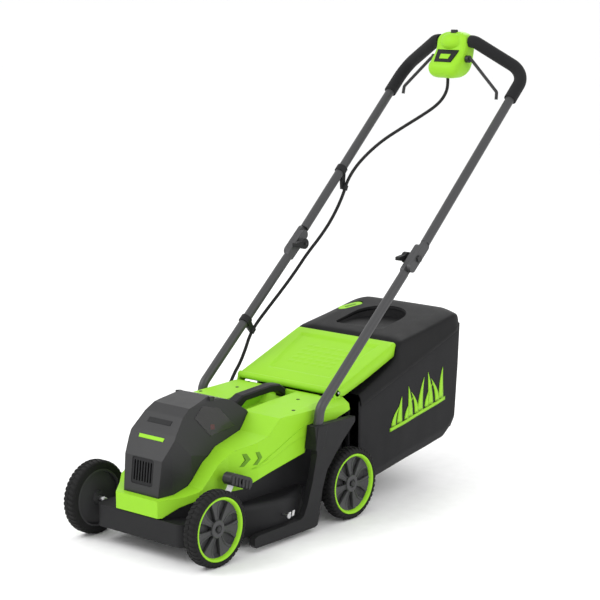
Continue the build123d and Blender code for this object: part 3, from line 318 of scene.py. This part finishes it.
def bar(name, finish, body, corners, proud, root=0.5):
    """A thin four-cornered bar whose corners are given in millimetres, thickened outwards."""
    a, b, c, d = (Vector(v) for v in corners)
    out = (b - a).cross(d - a).normalized()
    low = [tuple(v - out * root) for v in (a, b, c, d)]
    high = [tuple(v + out * proud) for v in (a, b, c, d)]
    piece(name, *loft([low, high]), finish, body, smooth=30)


# --- Wheels ------------------------------------------------------------------------------------

AXLE_Z = WHEEL_R * 1000
TREAD_LUGS = 44
TREAD_MIDDLE = 180.5
SPOKE_COUNT = 7

# Profiles of (distance, radius) in millimetres. A lug's distance is from the tread's middle, and the
# other distances are from the mower's middle.
LUG_PROFILE = [(0.6, 77.5), (0.6, 82.1), (1.6, 82.5), (9.6, 82.4), (13.0, 81.4), (15.2, 79.0),
               (15.9, 76.2), (14.8, 75.2), (11.0, 76.0)]
TYRE_SECTION = [(165.0, 64.0), (164.4, 70.0), (164.9, 75.5), (167.0, 79.0), (171.0, 80.8), (180.5, 81.2),
                (190.0, 80.8), (194.0, 79.0), (196.1, 75.5), (196.8, 73.6), (196.4, 72.6), (196.8, 71.6),
                (196.4, 70.2), (190.0, 69.6), (188.2, 69.2)]
RING_SECTION = [(188.3, 69.3), (194.6, 69.3), (196.4, 68.7), (196.9, 67.4), (196.5, 65.6),
                (195.2, 64.2), (193.2, 63.0), (190.6, 62.0), (188.4, 61.6), (188.2, 64.0)]
BARREL_SECTION = [(165.5, 63.9), (165.2, 60.0), (176.0, 58.8), (187.9, 61.4), (188.1, 63.9)]
HUB_SECTION = [(166.0, 5.1), (166.0, 14.5), (177.0, 15.2), (186.0, 19.0), (189.6, 19.4), (191.0, 17.8),
               (191.2, 12.0), (190.6, 10.0), (188.6, 9.2), (188.6, 5.1)]
WEB_SECTION = [(174.0, 14.0), (177.0, 18.0), (175.0, 42.0), (177.0, 57.0), (186.0, 62.0), (184.0, 63.0),
               (173.0, 58.0), (172.0, 42.0), (172.0, 14.0)]
NUT_SECTION = [(188.7, 7.0), (192.0, 7.0), (193.6, 5.6), (194.4, 3.0), (194.6, 0.01)]
# Along a spoke: distance from the axle, half width and how far out its face stands.
PETAL_STATIONS = [(14, 4.6, 189.2), (20, 5.4, 188.2), (34, 7.4, 185.6), (46, 10.5, 184.6),
                  (54, 15.0, 186.0), (60, 21.0, 189.6), (62.4, 24.0, 191.4)]


def tread(hand, wheel_y):
    """Two staggered rows of slanted blocks round the tyre's shoulders."""
    parts = []
    pitch = 2 * pi / TREAD_LUGS
    wide, skew = 0.60 * pitch, 0.30 * pitch
    for row_side in (1, -1):
        for k in range(TREAD_LUGS):
            start = k * pitch + (0.5 * pitch if row_side > 0 else 0)
            rings = []
            for share, shrink in ((0.0, 0.7), (0.06, 0.0), (0.94, 0.0), (1.0, 0.7)):
                ring = []
                for axial, radius in LUG_PROFILE:
                    a = start + wide * share + skew * min(1, axial / 12)
                    r = radius - shrink if radius > 78 else radius
                    x = hand * (TREAD_MIDDLE + row_side * axial)
                    ring.append((x, wheel_y + r * cos(a), AXLE_Z + r * sin(a)))
                rings.append(ring)
            parts.append(loft(rings))
    return merged(*parts)


def petal(hand, wheel_y, angle):
    """One wide, dished spoke with a shallow hollow between its two raised edges."""
    rings = []
    for radius, half, face in PETAL_STATIONS:
        profile = [(-half, face - 7), (-half, face - 0.8), (-half * 0.86, face), (-half * 0.66, face),
                   (-half * 0.54, face - 1.6), (half * 0.54, face - 1.6), (half * 0.66, face),
                   (half * 0.86, face), (half, face - 0.8), (half, face - 7)]
        ring = []
        for across, x in profile:
            y = radius * cos(angle) - across * sin(angle)
            z = radius * sin(angle) + across * cos(angle)
            ring.append((hand * x, wheel_y + y, AXLE_Z + z))
        rings.append(ring)
    return loft(rings)


def rim(hand, wheel_y):
    """The rim's barrel, its hub, the dished plate behind the spokes and the spokes."""
    parts = [
        turned(BARREL_SECTION, hand, wheel_y, AXLE_Z),
        turned(HUB_SECTION, hand, wheel_y, AXLE_Z, 64),
        turned(WEB_SECTION, hand, wheel_y, AXLE_Z),
    ]
    for k in range(SPOKE_COUNT):
        parts.append(petal(hand, wheel_y, pi / 2 + 2 * pi * k / SPOKE_COUNT))
    return merged(*parts)


def wheel(prefix, hand, wheel_y):
    """A wheel's tyre with its tread, its lime ring and its spoked rim."""
    body = f"{prefix}_wheel"
    tyre = merged(turned(TYRE_SECTION, hand, wheel_y, AXLE_Z), tread(hand, wheel_y))
    piece(f"{prefix}_treaded_tyre", *tyre, TYRE, body, [f"{prefix}_tyre"], smooth=30)
    ring = turned(RING_SECTION, hand, wheel_y, AXLE_Z)
    piece(f"{prefix}_dished_ring", *ring, LIME, body, [f"{prefix}_trim_ring"], smooth=40)
    piece(f"{prefix}_spoked_rim", *rim(hand, wheel_y), RIM_PLASTIC, body, [f"{prefix}_rim"], smooth=30,
          slot_name="charcoal")


def cap_nuts(end_name, wheel_y):
    """The six-sided cap nuts at both ends of an axle."""
    caps = [turned(NUT_SECTION, hand, wheel_y, AXLE_Z, 6) for hand in (1, -1)]
    piece(f"{end_name}_cap_nuts", *merged(*caps), CHARCOAL, f"{end_name}_axle", [f"{end_name}_axle_nuts"],
          smooth=25)


for end_name, wheel_y in (("front", 0.0), ("rear", WHEELBASE * 1000)):
    for hand_name, hand in (("left", 1), ("right", -1)):
        wheel(f"{end_name}_{hand_name}", hand, wheel_y)
    cap_nuts(end_name, wheel_y)


# --- Grass bag ---------------------------------------------------------------------------------

BAG_HALF = 154.0
CLOTH_FRONT = 514
CLOTH_BACK = 905
CLOTH_CORNER = 12.0
CORNER_STEPS = 9
SEAM_START, SEAM_END = (512.0, 246.0), (901.0, 370.0)
BOTTOM_END = 893
BACK_PANEL = 890


def seam_z(y):
    """Height of the seam where the cover meets the cloth."""
    (start_y, start_z), (end_y, end_z) = SEAM_START, SEAM_END
    return start_z + (y - start_y) * (end_z - start_z) / (end_y - start_y)


def bottom_z(y):
    """Height of the bag's underside."""
    return float(np.interp(y, [512, 587, 700, 872, BOTTOM_END], [50, 57, 75, 99, 118]))


def rear_y(z):
    """How far back the bag reaches at a height."""
    return float(np.interp(z, [100, 118, 270, 370], [880, 892, 907, 912]))


def cloth_fold(x, y, z):
    """Soft outward and inward swing of the cloth, in millimetres."""
    broad = noise.noise(Vector((x * 0.004 + 3.1, y * 0.010, z * 0.006)))
    pleat = noise.noise(Vector((y * 0.035, z * 0.008, x * 0.01 + 7.0)))
    return 2.6 * broad + 1.1 * pleat


def cloth_outline(columns):
    """The cloth in plan: up the left side, round the back and down the right side."""
    straight = CLOTH_BACK - CLOTH_CORNER - CLOTH_FRONT
    inner = BAG_HALF - CLOTH_CORNER
    turn_y = CLOTH_BACK - CLOTH_CORNER
    angles = [pi / 2 * k / CORNER_STEPS for k in range(1, CORNER_STEPS)]
    last = columns - 1
    outline = [(BAG_HALF, CLOTH_FRONT + straight * k / last) for k in range(columns)]
    outline += [(inner + CLOTH_CORNER * cos(a), turn_y + CLOTH_CORNER * sin(a)) for a in angles]
    outline += [(inner - 2 * inner * k / last, CLOTH_BACK) for k in range(columns)]
    outline += [(-inner - CLOTH_CORNER * sin(a), turn_y + CLOTH_CORNER * cos(a)) for a in angles]
    outline += [(-BAG_HALF, turn_y - straight * k / last) for k in range(columns)]
    return outline


def bag_shell():
    """The cloth bag: two sides, back and bottom in one sagging sheet, open at the top and mouth."""
    rows, columns = 46, 40
    outline = cloth_outline(columns)
    rings = []
    for r in range(rows + 1):
        t = r / rows
        belly = sin(pi * t) ** 0.8
        tuck = 10 * max(0, 0.10 - t) / 0.10
        ring = []
        for x, y in outline:
            top, low = seam_z(min(y, SEAM_END[0])) + 6, bottom_z(min(y, BOTTOM_END)) + 3
            z = low + (top - low) * t
            lean = rear_y(z) - CLOTH_BACK
            share = max(0.0, (y - CLOTH_FRONT) / (CLOTH_BACK - CLOTH_FRONT))
            along = sin(pi * min(1, share))
            swing = cloth_fold(x, y, z) * belly
            side_share = min(1.0, abs(x) / BAG_HALF) ** 6
            out = (swing - 1.2 + 2.4 * along * belly) * side_share - tuck * side_share
            back = (swing * 0.8) * (1 if y > BACK_PANEL else 0)
            ring.append((x + (out if x > 0 else -out), y + lean * share**3 + back * (1 - side_share), z))
        rings.append(ring)
    points, faces = loft(rings, closed=False, capped=False)
    width = len(outline)
    floor_rows = 24
    start = len(points)
    half_count = width // 2
    for k in range(half_count):
        a, b = rings[0][k], rings[0][width - 1 - k]
        for j in range(floor_rows + 1):
            s = j / floor_rows
            sag = -3.0 * sin(pi * s) + 0.8 * noise.noise(Vector((s * 4, k * 0.12, 1.0)))
            points.append((a[0] + (b[0] - a[0]) * s, a[1] + (b[1] - a[1]) * s, a[2] + sag))
    for k in range(half_count - 1):
        for j in range(floor_rows):
            i = start + k * (floor_rows + 1) + j
            faces.append((i, i + 1, i + floor_rows + 2, i + floor_rows + 1))
    return points, faces


bag = piece("bag_cloth", *bag_shell(), FABRIC, "grass_bag", ["bag_body"], smooth=60)
thicken(bag, "cloth_thickness", 1.6, 0)


def lid_section(y, edge_z, crown, seam, half):
    """One crosswise section of the bag's cover, from the left seam over the top to the right seam."""
    profile = [
        (half + 1.0, seam - 6), (half + 1.8, seam + 1), (half + 0.8, seam + 4),
        (half - 0.4, seam + (edge_z - seam) * 0.55), (half - 1.6, edge_z - 4.0), (half - 3.2, edge_z - 0.8),
        (half - 6.0, edge_z + 1.0), (half - 15.0, edge_z + crown * 0.40),
        (half - 28.0, edge_z + crown * 0.74), (half - 40.0, edge_z + crown * 0.97),
        (half - 46.0, edge_z + crown), (70.0, edge_z + crown + 0.2),
        (40.0, edge_z + crown + 0.3), (20.0, edge_z + crown + 0.3), (0.0, edge_z + crown + 0.3),
    ]
    return [(x, y, z) for x, z in profile] + [(-x, y, z) for x, z in reversed(profile[:-1])]


# Along the cover: y, height of its edge, rise of its crown and half width.
LID_STATIONS = [
    (516, 266, 3, 155), (530, 271, 3, 155), (548, 278, 3, 155), (600, 299, 4, 155), (645, 320, 6, 155),
    (654, 334, 7, 155), (657, 352, 7, 155), (662, 361.5, 8, 155), (670, 366, 7.6, 155),
    (690, 369, 7.8, 155), (730, 374.8, 9.3, 155), (770, 380.5, 11, 155), (810, 387.5, 11.5, 155),
    (850, 394.3, 12, 155), (876, 398.8, 12.2, 154.5), (890, 399.5, 10.5, 153), (900, 396, 8.5, 150),
    (906, 388, 6, 145), (911, 378, 4, 138),
]
LID_RISE = (412 - 374) / (880 - 676)
FLAP_SPOT = (-112.0, 812.0)
FLAP_TURN = radians(64 - 90)
GRIP_HALF, GRIP_FRONT, GRIP_MIDDLE, GRIP_BACK, GRIP_ARCH = 72.0, 700.0, 765.0, 776.0, 66
# From the recess's lip to its floor: size in plan, height above the cover and slope of the floor.
BOWL_STATIONS = [(0.99, -6.0, 0.0), (0.995, 0.6, 0.0), (1.02, 2.4, 0.0), (1.05, 2.2, 0.0),
                 (1.07, -1.0, 0.0), (1.0, -3.0, 0.0), (0.985, -1.5, 0.06), (0.95, -4.0, 0.13),
                 (0.6, -5.0, 0.14), (0.02, -6.0, 0.15)]


def flap_ring(z, long_half, short_half, steps=40):
    """A long rounded outline about the fill flap's middle, turned in plan, on the cover's slope."""
    x, y = FLAP_SPOT
    ring = []
    for k in range(steps):
        a = 2 * pi * k / steps
        u = short_half * cos(a)
        v = short_half * sin(a) + (long_half - short_half) * (1 if sin(a) >= 0 else -1)
        dx, dy = u * cos(FLAP_TURN) - v * sin(FLAP_TURN), u * sin(FLAP_TURN) + v * cos(FLAP_TURN)
        ring.append((x + dx, y + dy, z + dy * LID_RISE))
    return ring


def lid_height(y):
    """Height of the cover's flat crown."""
    return float(np.interp(y, [690, 730, 770, 810, 850, 876], [376.8, 384.1, 391.5, 399.0, 406.3, 411.0]))


def recess_outline():
    """The hand recess in plan: straight at the front and round at the back."""
    outline = [(-GRIP_HALF + 8, GRIP_FRONT), (GRIP_HALF - 8, GRIP_FRONT), (GRIP_HALF, GRIP_FRONT + 8)]
    outline += [(GRIP_HALF * cos(pi * k / 28), GRIP_BACK + GRIP_ARCH * sin(pi * k / 28)) for k in range(29)]
    outline.append((-GRIP_HALF, GRIP_FRONT + 8))
    return outline


def bag_lid(recess):
    """The moulded cover, open at the fill flap and at the hand recess."""
    rings = [
        lid_section(y, edge_z, crown, min(seam_z(min(y, SEAM_END[0])), edge_z - 8), half)
        for y, edge_z, crown, half in LID_STATIONS
    ]
    rings.append([(x, 914.5, min(z, 372)) for x, y, z in rings[-1]])
    rings.append([(x, 913.0, 362) for x, y, z in rings[-1]])
    lid = piece("bag_lid", *loft(rings, closed=False, capped=False), LID_PLASTIC, "grass_bag",
                ["bag_cover"], smooth=50, subdivide=2, slot_name="charcoal")
    thicken(lid, "shell", 2.6, -1)
    cut(lid, *loft([flap_ring(z, 33, 16) for z in (360, 440)]))
    cut(lid, *loft([[(x, y, z) for x, y in recess] for z in (330, 440)]))


def grip_bowl(recess):
    """The lip round the hand recess and the bowl below it, deeper towards the back."""
    rings = []
    for grow, lift, sink in BOWL_STATIONS:
        ring = []
        for x, y in recess:
            x, y = x * grow, GRIP_MIDDLE + (y - GRIP_MIDDLE) * grow
            ring.append((x, y, lid_height(y) + lift - sink * max(0.0, y - GRIP_FRONT)))
        rings.append(ring)
    piece("bag_grip_bowl", *loft(rings, capped=False), LID_PLASTIC, "grass_bag", smooth=40,
          slot_name="charcoal")


def fill_flap():
    """The lime flap that lifts as the bag fills, with a plain darker bar on it."""
    for name, finish, stands_for, long_half, short_half, proud, thick in (
            ("full_flap", LIME, ["bag_indicator"], 31.2, 14.2, 0.9, 3.2),
            ("full_flap_bar", DEEP_LIME, [], 15, 3, 1.6, 1.6)):
        top = [(x, y, lid_height(y) + proud) for x, y, z in flap_ring(0, long_half, short_half)]
        low = [(x, y, z - thick) for x, y, z in top]
        piece(name, *loft([low, top]), finish, "bag_indicator", stands_for, smooth=30)


recess = recess_outline()
bag_lid(recess)
grip_bowl(recess)
fill_flap()


# --- Marks and small details laid on the CAD surfaces ------------------------------------------

STRIPE_PITCH = 17
CHEVRON_PITCH = 30
for k in range(2):
    y = 238 + STRIPE_PITCH * k
    plate(f"side_stripe_{k + 1}", WHITE, "chassis", ["deck", "side_bracket_left"],
          [(y, 47), (y + 10, 46.6), (y + 14, 58), (y + 4, 58.4)], 0.9, detail=4)
for k in range(2):
    y = 124 + CHEVRON_PITCH * k
    plate(f"cover_chevron_{k + 1}", DEEP_LIME, "chassis", ["top_cover", "head_cover"],
          [(y, 180), (y + 14, 194), (y + 6, 208), (y + 16, 208), (y + 25, 194), (y + 10, 180)], 0.5,
          detail=3)

bar("head_stripe", LIME, "chassis",
    [(-36, -4.2, 244.0), (36, -4.2, 244.0), (37, 0.4, 251.0), (-37, 0.4, 251.0)], 0.9)
bar("head_slot", BLACK, "chassis",
    [(-34, 20.0, 274.0), (34, 20.0, 274.0), (34, 28.0, 282.4), (-34, 28.0, 282.4)], 0.8)
plate("hatch_side", SMOKE, "chassis", ["head_cover", "battery_door"],
      [(70, 285), (108, 240), (186, 248), (150, 292), (100, 306)], 1.0)
plate("hatch_key_glow", RED, "chassis", ["head_cover"],
      [(112, 254), (124, 252), (126, 262), (114, 264)], 0.5, detail=2)


def grip_ribs(count=6):
    """Slanted ribs on the outer face of the cutting-height lever's grip."""
    face_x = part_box("lever_grip")[1].x * 1000
    ribs = []
    for k in range(count):
        y, z = 66 + 10.6 * k, 179.6 - 4.4 * k
        ribs.append(block([(y, z), (y + 4.6, z - 1.9), (y + 1.8, z - 20.0), (y - 2.8, z - 18.1)],
                          face_x - 1.0, face_x + 1.4))
    piece("lever_grip_ribs", *merged(*ribs), CHARCOAL, "front_axle", smooth=30)


grip_ribs()


bag_tree = BVHTree.FromPolygons([v.co.copy() for v in bag.data.vertices],
                                [tuple(f.vertices) for f in bag.data.polygons])
PRINT_LIFT = 1.8
# The printed grass blades: foot, height, lean towards the back and half width.
GRASS_BLADES = [
    (640, 44, 22, 8), (662, 62, 10, 9), (688, 50, 30, 8), (704, 74, -6, 10), (730, 54, -22, 8),
    (744, 78, 16, 10), (770, 56, 28, 8), (786, 80, -10, 10), (812, 58, -24, 8), (828, 76, 8, 10),
]
GRASS_START, GRASS_SLOPE = 640, 0.17


def on_cloth(y, z):
    """The place on the cloth's left side at (y, z), in millimetres, a little proud of it."""
    spot = bag_tree.ray_cast(P(CLEAR_LEFT, y, z), Vector((-1, 0, 0)))[0]
    return (spot.x * 1000 + PRINT_LIFT, y, z)


def grass_motif():
    """A row of pointed grass blades on a slanting ground line, printed on the bag's left side."""
    parts = []
    for foot, height, lean, half in GRASS_BLADES:
        base_z = 172 + (foot - GRASS_START) * GRASS_SLOPE
        rows = []
        for step in range(13):
            t = step / 12
            y, z = foot + lean * t * t, base_z + height * t
            wide = half * (1 - t**1.6) + 0.4
            rows.append([on_cloth(y + wide * w, z) for w in (-1.0, -0.5, 0.0, 0.5, 1.0)])
        parts.append(loft(rows, closed=False, capped=False))
    ground_rows = []
    for step in range(41):
        y = 626 + 5.5 * step
        z = 166 + (y - GRASS_START) * GRASS_SLOPE
        ground_rows.append([on_cloth(y, z + w) for w in (-4.0, -1.0, 2.0, 5.0)])
    parts.append(loft(ground_rows, closed=False, capped=False))
    motif = piece("bag_grass_motif", *merged(*parts), LIME, "grass_bag", smooth=60)
    thicken(motif, "thickness", 0.6, 0)


grass_motif()


# --- Switch box and top cover details ----------------------------------------------------------

# Up the switch box: height, half width, and the y of its near and far faces.
BOX_STATIONS = [
    (952, 24, 1040, 1064), (955, 34, 1030, 1075), (962, 41, 1022, 1088), (972, 45, 1018, 1098),
    (982, 45.5, 1018, 1103), (988, 45.5, 1022, 1106), (992, 45.5, 1028, 1107), (1008, 45.5, 1044, 1109),
    (1022, 45.5, 1056, 1111), (1034, 45.8, 1059, 1111), (1045, 45.8, 1060, 1110), (1054, 41, 1063, 1106),
    (1061, 33, 1070, 1100), (1065, 18, 1078, 1094),
]
BOX_SQUARENESS = 0.45
DOME_MIDDLE = (0, 1071, 1040)
DOME_HALF = (33, 24, 23)
SCREW_SPOTS = [(140, 300), (-140, 300), (92, 372), (-92, 372), (110, 430), (-110, 430)]
SCREW_R = 4.2
ABOVE_COVER = 600


def squared(value):
    """A cosine or sine bent towards the corners of a rounded square."""
    return abs(value) ** BOX_SQUARENESS * (1 if value >= 0 else -1)


def box_shell(around=40):
    """The switch box: rounded squares stacked up its height."""
    rings = []
    for z, half, near_y, far_y in BOX_STATIONS:
        ring = []
        for k in range(around):
            a = 2 * pi * k / around
            x = half * squared(cos(a))
            y = (near_y + far_y) / 2 + (far_y - near_y) / 2 * squared(sin(a))
            ring.append((x, y, z))
        rings.append(ring)
    piece("switch_box_shell", *loft(rings), LIME, "upper_handle", ["switch_box_front", "switch_box_back"],
          smooth=60, subdivide=1)


def box_dome(around=36, rows=12):
    """The rounded dome over the box's middle."""
    middle_x, middle_y, middle_z = DOME_MIDDLE
    half_x, half_y, half_z = DOME_HALF
    rings = []
    for step in range(1, rows):
        b = -pi / 2 + pi * step / rows
        ring = []
        for k in range(around):
            a = 2 * pi * k / around
            x, y = half_x * cos(b) * cos(a), half_y * cos(b) * sin(a)
            ring.append((middle_x + x, middle_y + y, middle_z + half_z * sin(b)))
        rings.append(ring)
    piece("switch_box_dome", *loft(rings), LIME, "upper_handle", smooth=60, subdivide=1)


def cover_screws():
    """Round screw heads on the top cover."""
    heads = []
    for x, y in SCREW_SPOTS:
        z = reach(["top_cover"], (x, y, ABOVE_COVER), (x, y, 0)).z * 1000
        ring = [(x + SCREW_R * cos(pi * k / 8), y + SCREW_R * sin(pi * k / 8)) for k in range(16)]
        heads.append(loft([[(a, b, z - 2.5) for a, b in ring], [(a, b, z + 0.6) for a, b in ring]]))
    piece("cover_screws", *merged(*heads), BLACK, "chassis", smooth=30)


box_shell()
box_dome()
bar("switch_box_panel", BLACK, "upper_handle",
    [(-24.5, 1028, 993), (24.5, 1028, 993), (31.5, 1054, 1021), (-31.5, 1054, 1021)], 1.0, root=4.0)
bar("switch_box_mark", LIME, "upper_handle",
    [(-13, 1034, 1000), (13, 1034, 1000), (15, 1044, 1010.8), (-15, 1044, 1010.8)], 1.6, root=0.0)
plate("cover_swoosh", LIME, "chassis", ["top_cover", "head_cover"],
      [(150, 172), (198, 178), (271, 205), (362, 224), (366, 250), (330, 245), (222, 199)], 1.2, detail=8)
cover_screws()


# --- Hood --------------------------------------------------------------------------------------

HOOD_HALF = 147.5
TRAY_FRONT, TRAY_REAR, TRAY_DEPTH = 482.0, 634.0, 4.2
DASH_FRONT, DASH_REAR, DASH_REACH = 520, 606, 70
DASH_ROW, DASH_COLUMN, DASH_RISE = 17.2, 23.0, 0.9
HOOD_FRONT, HOOD_STEP, HOOD_END = 440.0, 2.4, 656.0


def hood_top(y):
    """Height of the hood's upper face before its details."""
    return float(np.interp(y, [437, 448, 655, 658], [288, 294.5, 368, 364]))


def hood_low(y):
    """Height of the hood's lower side edge."""
    return float(np.interp(y, [437, 468, 540, 592, 655, 658], [276, 275.5, 297, 315, 337, 345]))


def hood_hollow(x, y):
    """Depth of the shallow tray in the hood's top, less where short raised dashes stand on its floor."""
    share = (y - TRAY_FRONT) / (TRAY_REAR - TRAY_FRONT)
    half = 92.0 + 26.0 * share
    edge = min((y - TRAY_FRONT) / 5, (TRAY_REAR - y) / 7, (half - abs(x)) / 5, 1.0)
    depth = TRAY_DEPTH * max(0.0, edge)
    if depth >= TRAY_DEPTH - 0.1 and abs(x) < DASH_REACH and DASH_FRONT < y < DASH_REAR:
        along, across = (y - DASH_FRONT) % DASH_ROW, (x + DASH_REACH) % DASH_COLUMN
        if along < 7.5 and 3.0 < across < 18.0:
            depth -= DASH_RISE
    return depth


def hood_shell():
    """The lifting hood: side walls, a rolled upper edge and a top with a shallow tray."""
    columns = list(np.arange(-HOOD_HALF + 4, HOOD_HALF - 3.9, 2.5))
    rows = []
    for y in [*np.arange(HOOD_FRONT, HOOD_END, HOOD_STEP), HOOD_END, HOOD_END + 2]:
        top, low = hood_top(y), hood_low(y)
        edge = [(HOOD_HALF, low), (HOOD_HALF, (low + top) / 2), (HOOD_HALF - 0.3, top - 3.4),
                (HOOD_HALF - 1.4, top - 1.0)]
        row = [(-x, y, z) for x, z in edge]
        row += [(x, y, top - hood_hollow(x, y)) for x in columns]
        row += [(x, y, z) for x, z in reversed(edge)]
        rows.append(row)
    rows.append([(x, 657.5, hood_low(657)) for x, y, z in rows[-1]])
    hood = piece("hood_shell", *loft(rows, closed=False, capped=False), LIME, "rear_hood", ["rear_hood"],
                 smooth=40)
    thicken(hood, "shell", 2.6, -1)


hood_shell()
piece("hood_barrel", *tube([(-148, 444, 286), (148, 444, 286)], 8.6, 40), LIME, "rear_hood", smooth=40)


# --- Cable -------------------------------------------------------------------------------------

CABLE_POINTS = [
    (0, 1052, 960), (-1, 1057, 932), (-9, 1051, 905), (-24, 1039, 883), (-50, 1022, 861),
    (-90, 990, 829), (-128, 946, 793), (-157, 899, 745), (-169, 869, 703), (-170, 852, 664),
    (-170, 812, 613), (-170, 768, 574), (-170, 713, 535), (-170, 673, 500), (-170, 624, 462),
    (-170, 574, 426), (-170, 524, 389), (-170, 502, 364), (-170, 488, 336), (-167, 465, 306),
    (-160, 434, 284), (-148, 404, 262),
]
CABLE_R = 4.0


def cable_centreline():
    """Points in millimetres along a smooth curve through the cable's route."""
    route = bpy.data.curves.new("cable_route", "CURVE")
    route.dimensions = "3D"
    route.resolution_u = 16
    spline = route.splines.new("NURBS")
    spline.points.add(len(CABLE_POINTS) - 1)
    for point, spot in zip(spline.points, CABLE_POINTS):
        point.co = (*P(*spot), 1.0)
    spline.order_u = 3
    spline.use_endpoint_u = True
    route_object = bpy.data.objects.new("cable_route", route)
    bpy.context.scene.collection.objects.link(route_object)
    bpy.context.view_layer.update()
    depsgraph = bpy.context.evaluated_depsgraph_get()
    route_mesh = bpy.data.meshes.new_from_object(route_object.evaluated_get(depsgraph))
    centreline = [(v.co.x * 1000, (v.co.y - FRONT_Y) * 1000, v.co.z * 1000) for v in route_mesh.vertices]
    bpy.data.objects.remove(route_object)
    return centreline


cable = piece("cable", *tube(cable_centreline(), CABLE_R, 16), RUBBER, None, smooth=60)
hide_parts("cable_upper", "cable_lower")
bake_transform(cable)


# --- Camera, light and floor -------------------------------------------------------------------

AZIMUTH, ELEVATION, LENS = radians(40.3), radians(10.8), 114.3
CAMERA_SPOT = (2783.9, -2795.5, 1295.8)
FLOOR_HALF = 40
WORLD_STRENGTH = 1.06
LIGHTS_AIM = Vector((0, 0, 0.4))

lens = bpy.data.cameras.new("camera")
lens.lens = LENS
camera = bpy.data.objects.new("camera", lens)
camera.location = P(*CAMERA_SPOT)
aim = Vector((-sin(AZIMUTH) * cos(ELEVATION), cos(AZIMUTH) * cos(ELEVATION), -sin(ELEVATION)))
camera.rotation_euler = aim.to_track_quat("-Z", "Y").to_euler()
bpy.context.scene.collection.objects.link(camera)
bpy.context.scene.camera = camera

floor_mesh = bpy.data.meshes.new("floor")
floor_corners = [(FLOOR_HALF * x, FLOOR_HALF * y, 0) for x, y in ((-1, -1), (1, -1), (1, 1), (-1, 1))]
floor_mesh.from_pydata(floor_corners, [], [(0, 1, 2, 3)])
floor = bpy.data.objects.new("floor", floor_mesh)
bpy.context.scene.collection.objects.link(floor)
floor_paint = surface("floor_paint", (0.95, 0.95, 0.95), 0.8, grain=0.05, grain_scale=60, edge=0.0)
floor_mesh.materials.append(floor_paint)

world = bpy.data.worlds.new("studio")
bpy.context.scene.world = world
world.use_nodes = True
background = world.node_tree.nodes["Background"]
background.inputs["Color"].default_value = (1.0, 1.0, 1.0, 1)
background.inputs["Strength"].default_value = WORLD_STRENGTH
bpy.context.scene.view_settings.view_transform = "Standard"


def lamp(name, spot, size, power):
    """A soft rectangular light that faces the mower."""
    light = bpy.data.lights.new(name, "AREA")
    light.size = size
    light.energy = power
    made = bpy.data.objects.new(name, light)
    made.location = spot
    made.rotation_euler = (LIGHTS_AIM - made.location).to_track_quat("-Z", "Y").to_euler()
    bpy.context.scene.collection.objects.link(made)


lamp("key_light", (-1.6, -2.6, 3.0), 2.0, 60)
lamp("side_light", (3.2, -0.6, 2.0), 1.8, 26)
lamp("rim_light", (-1.0, 3.0, 2.6), 1.6, 26)
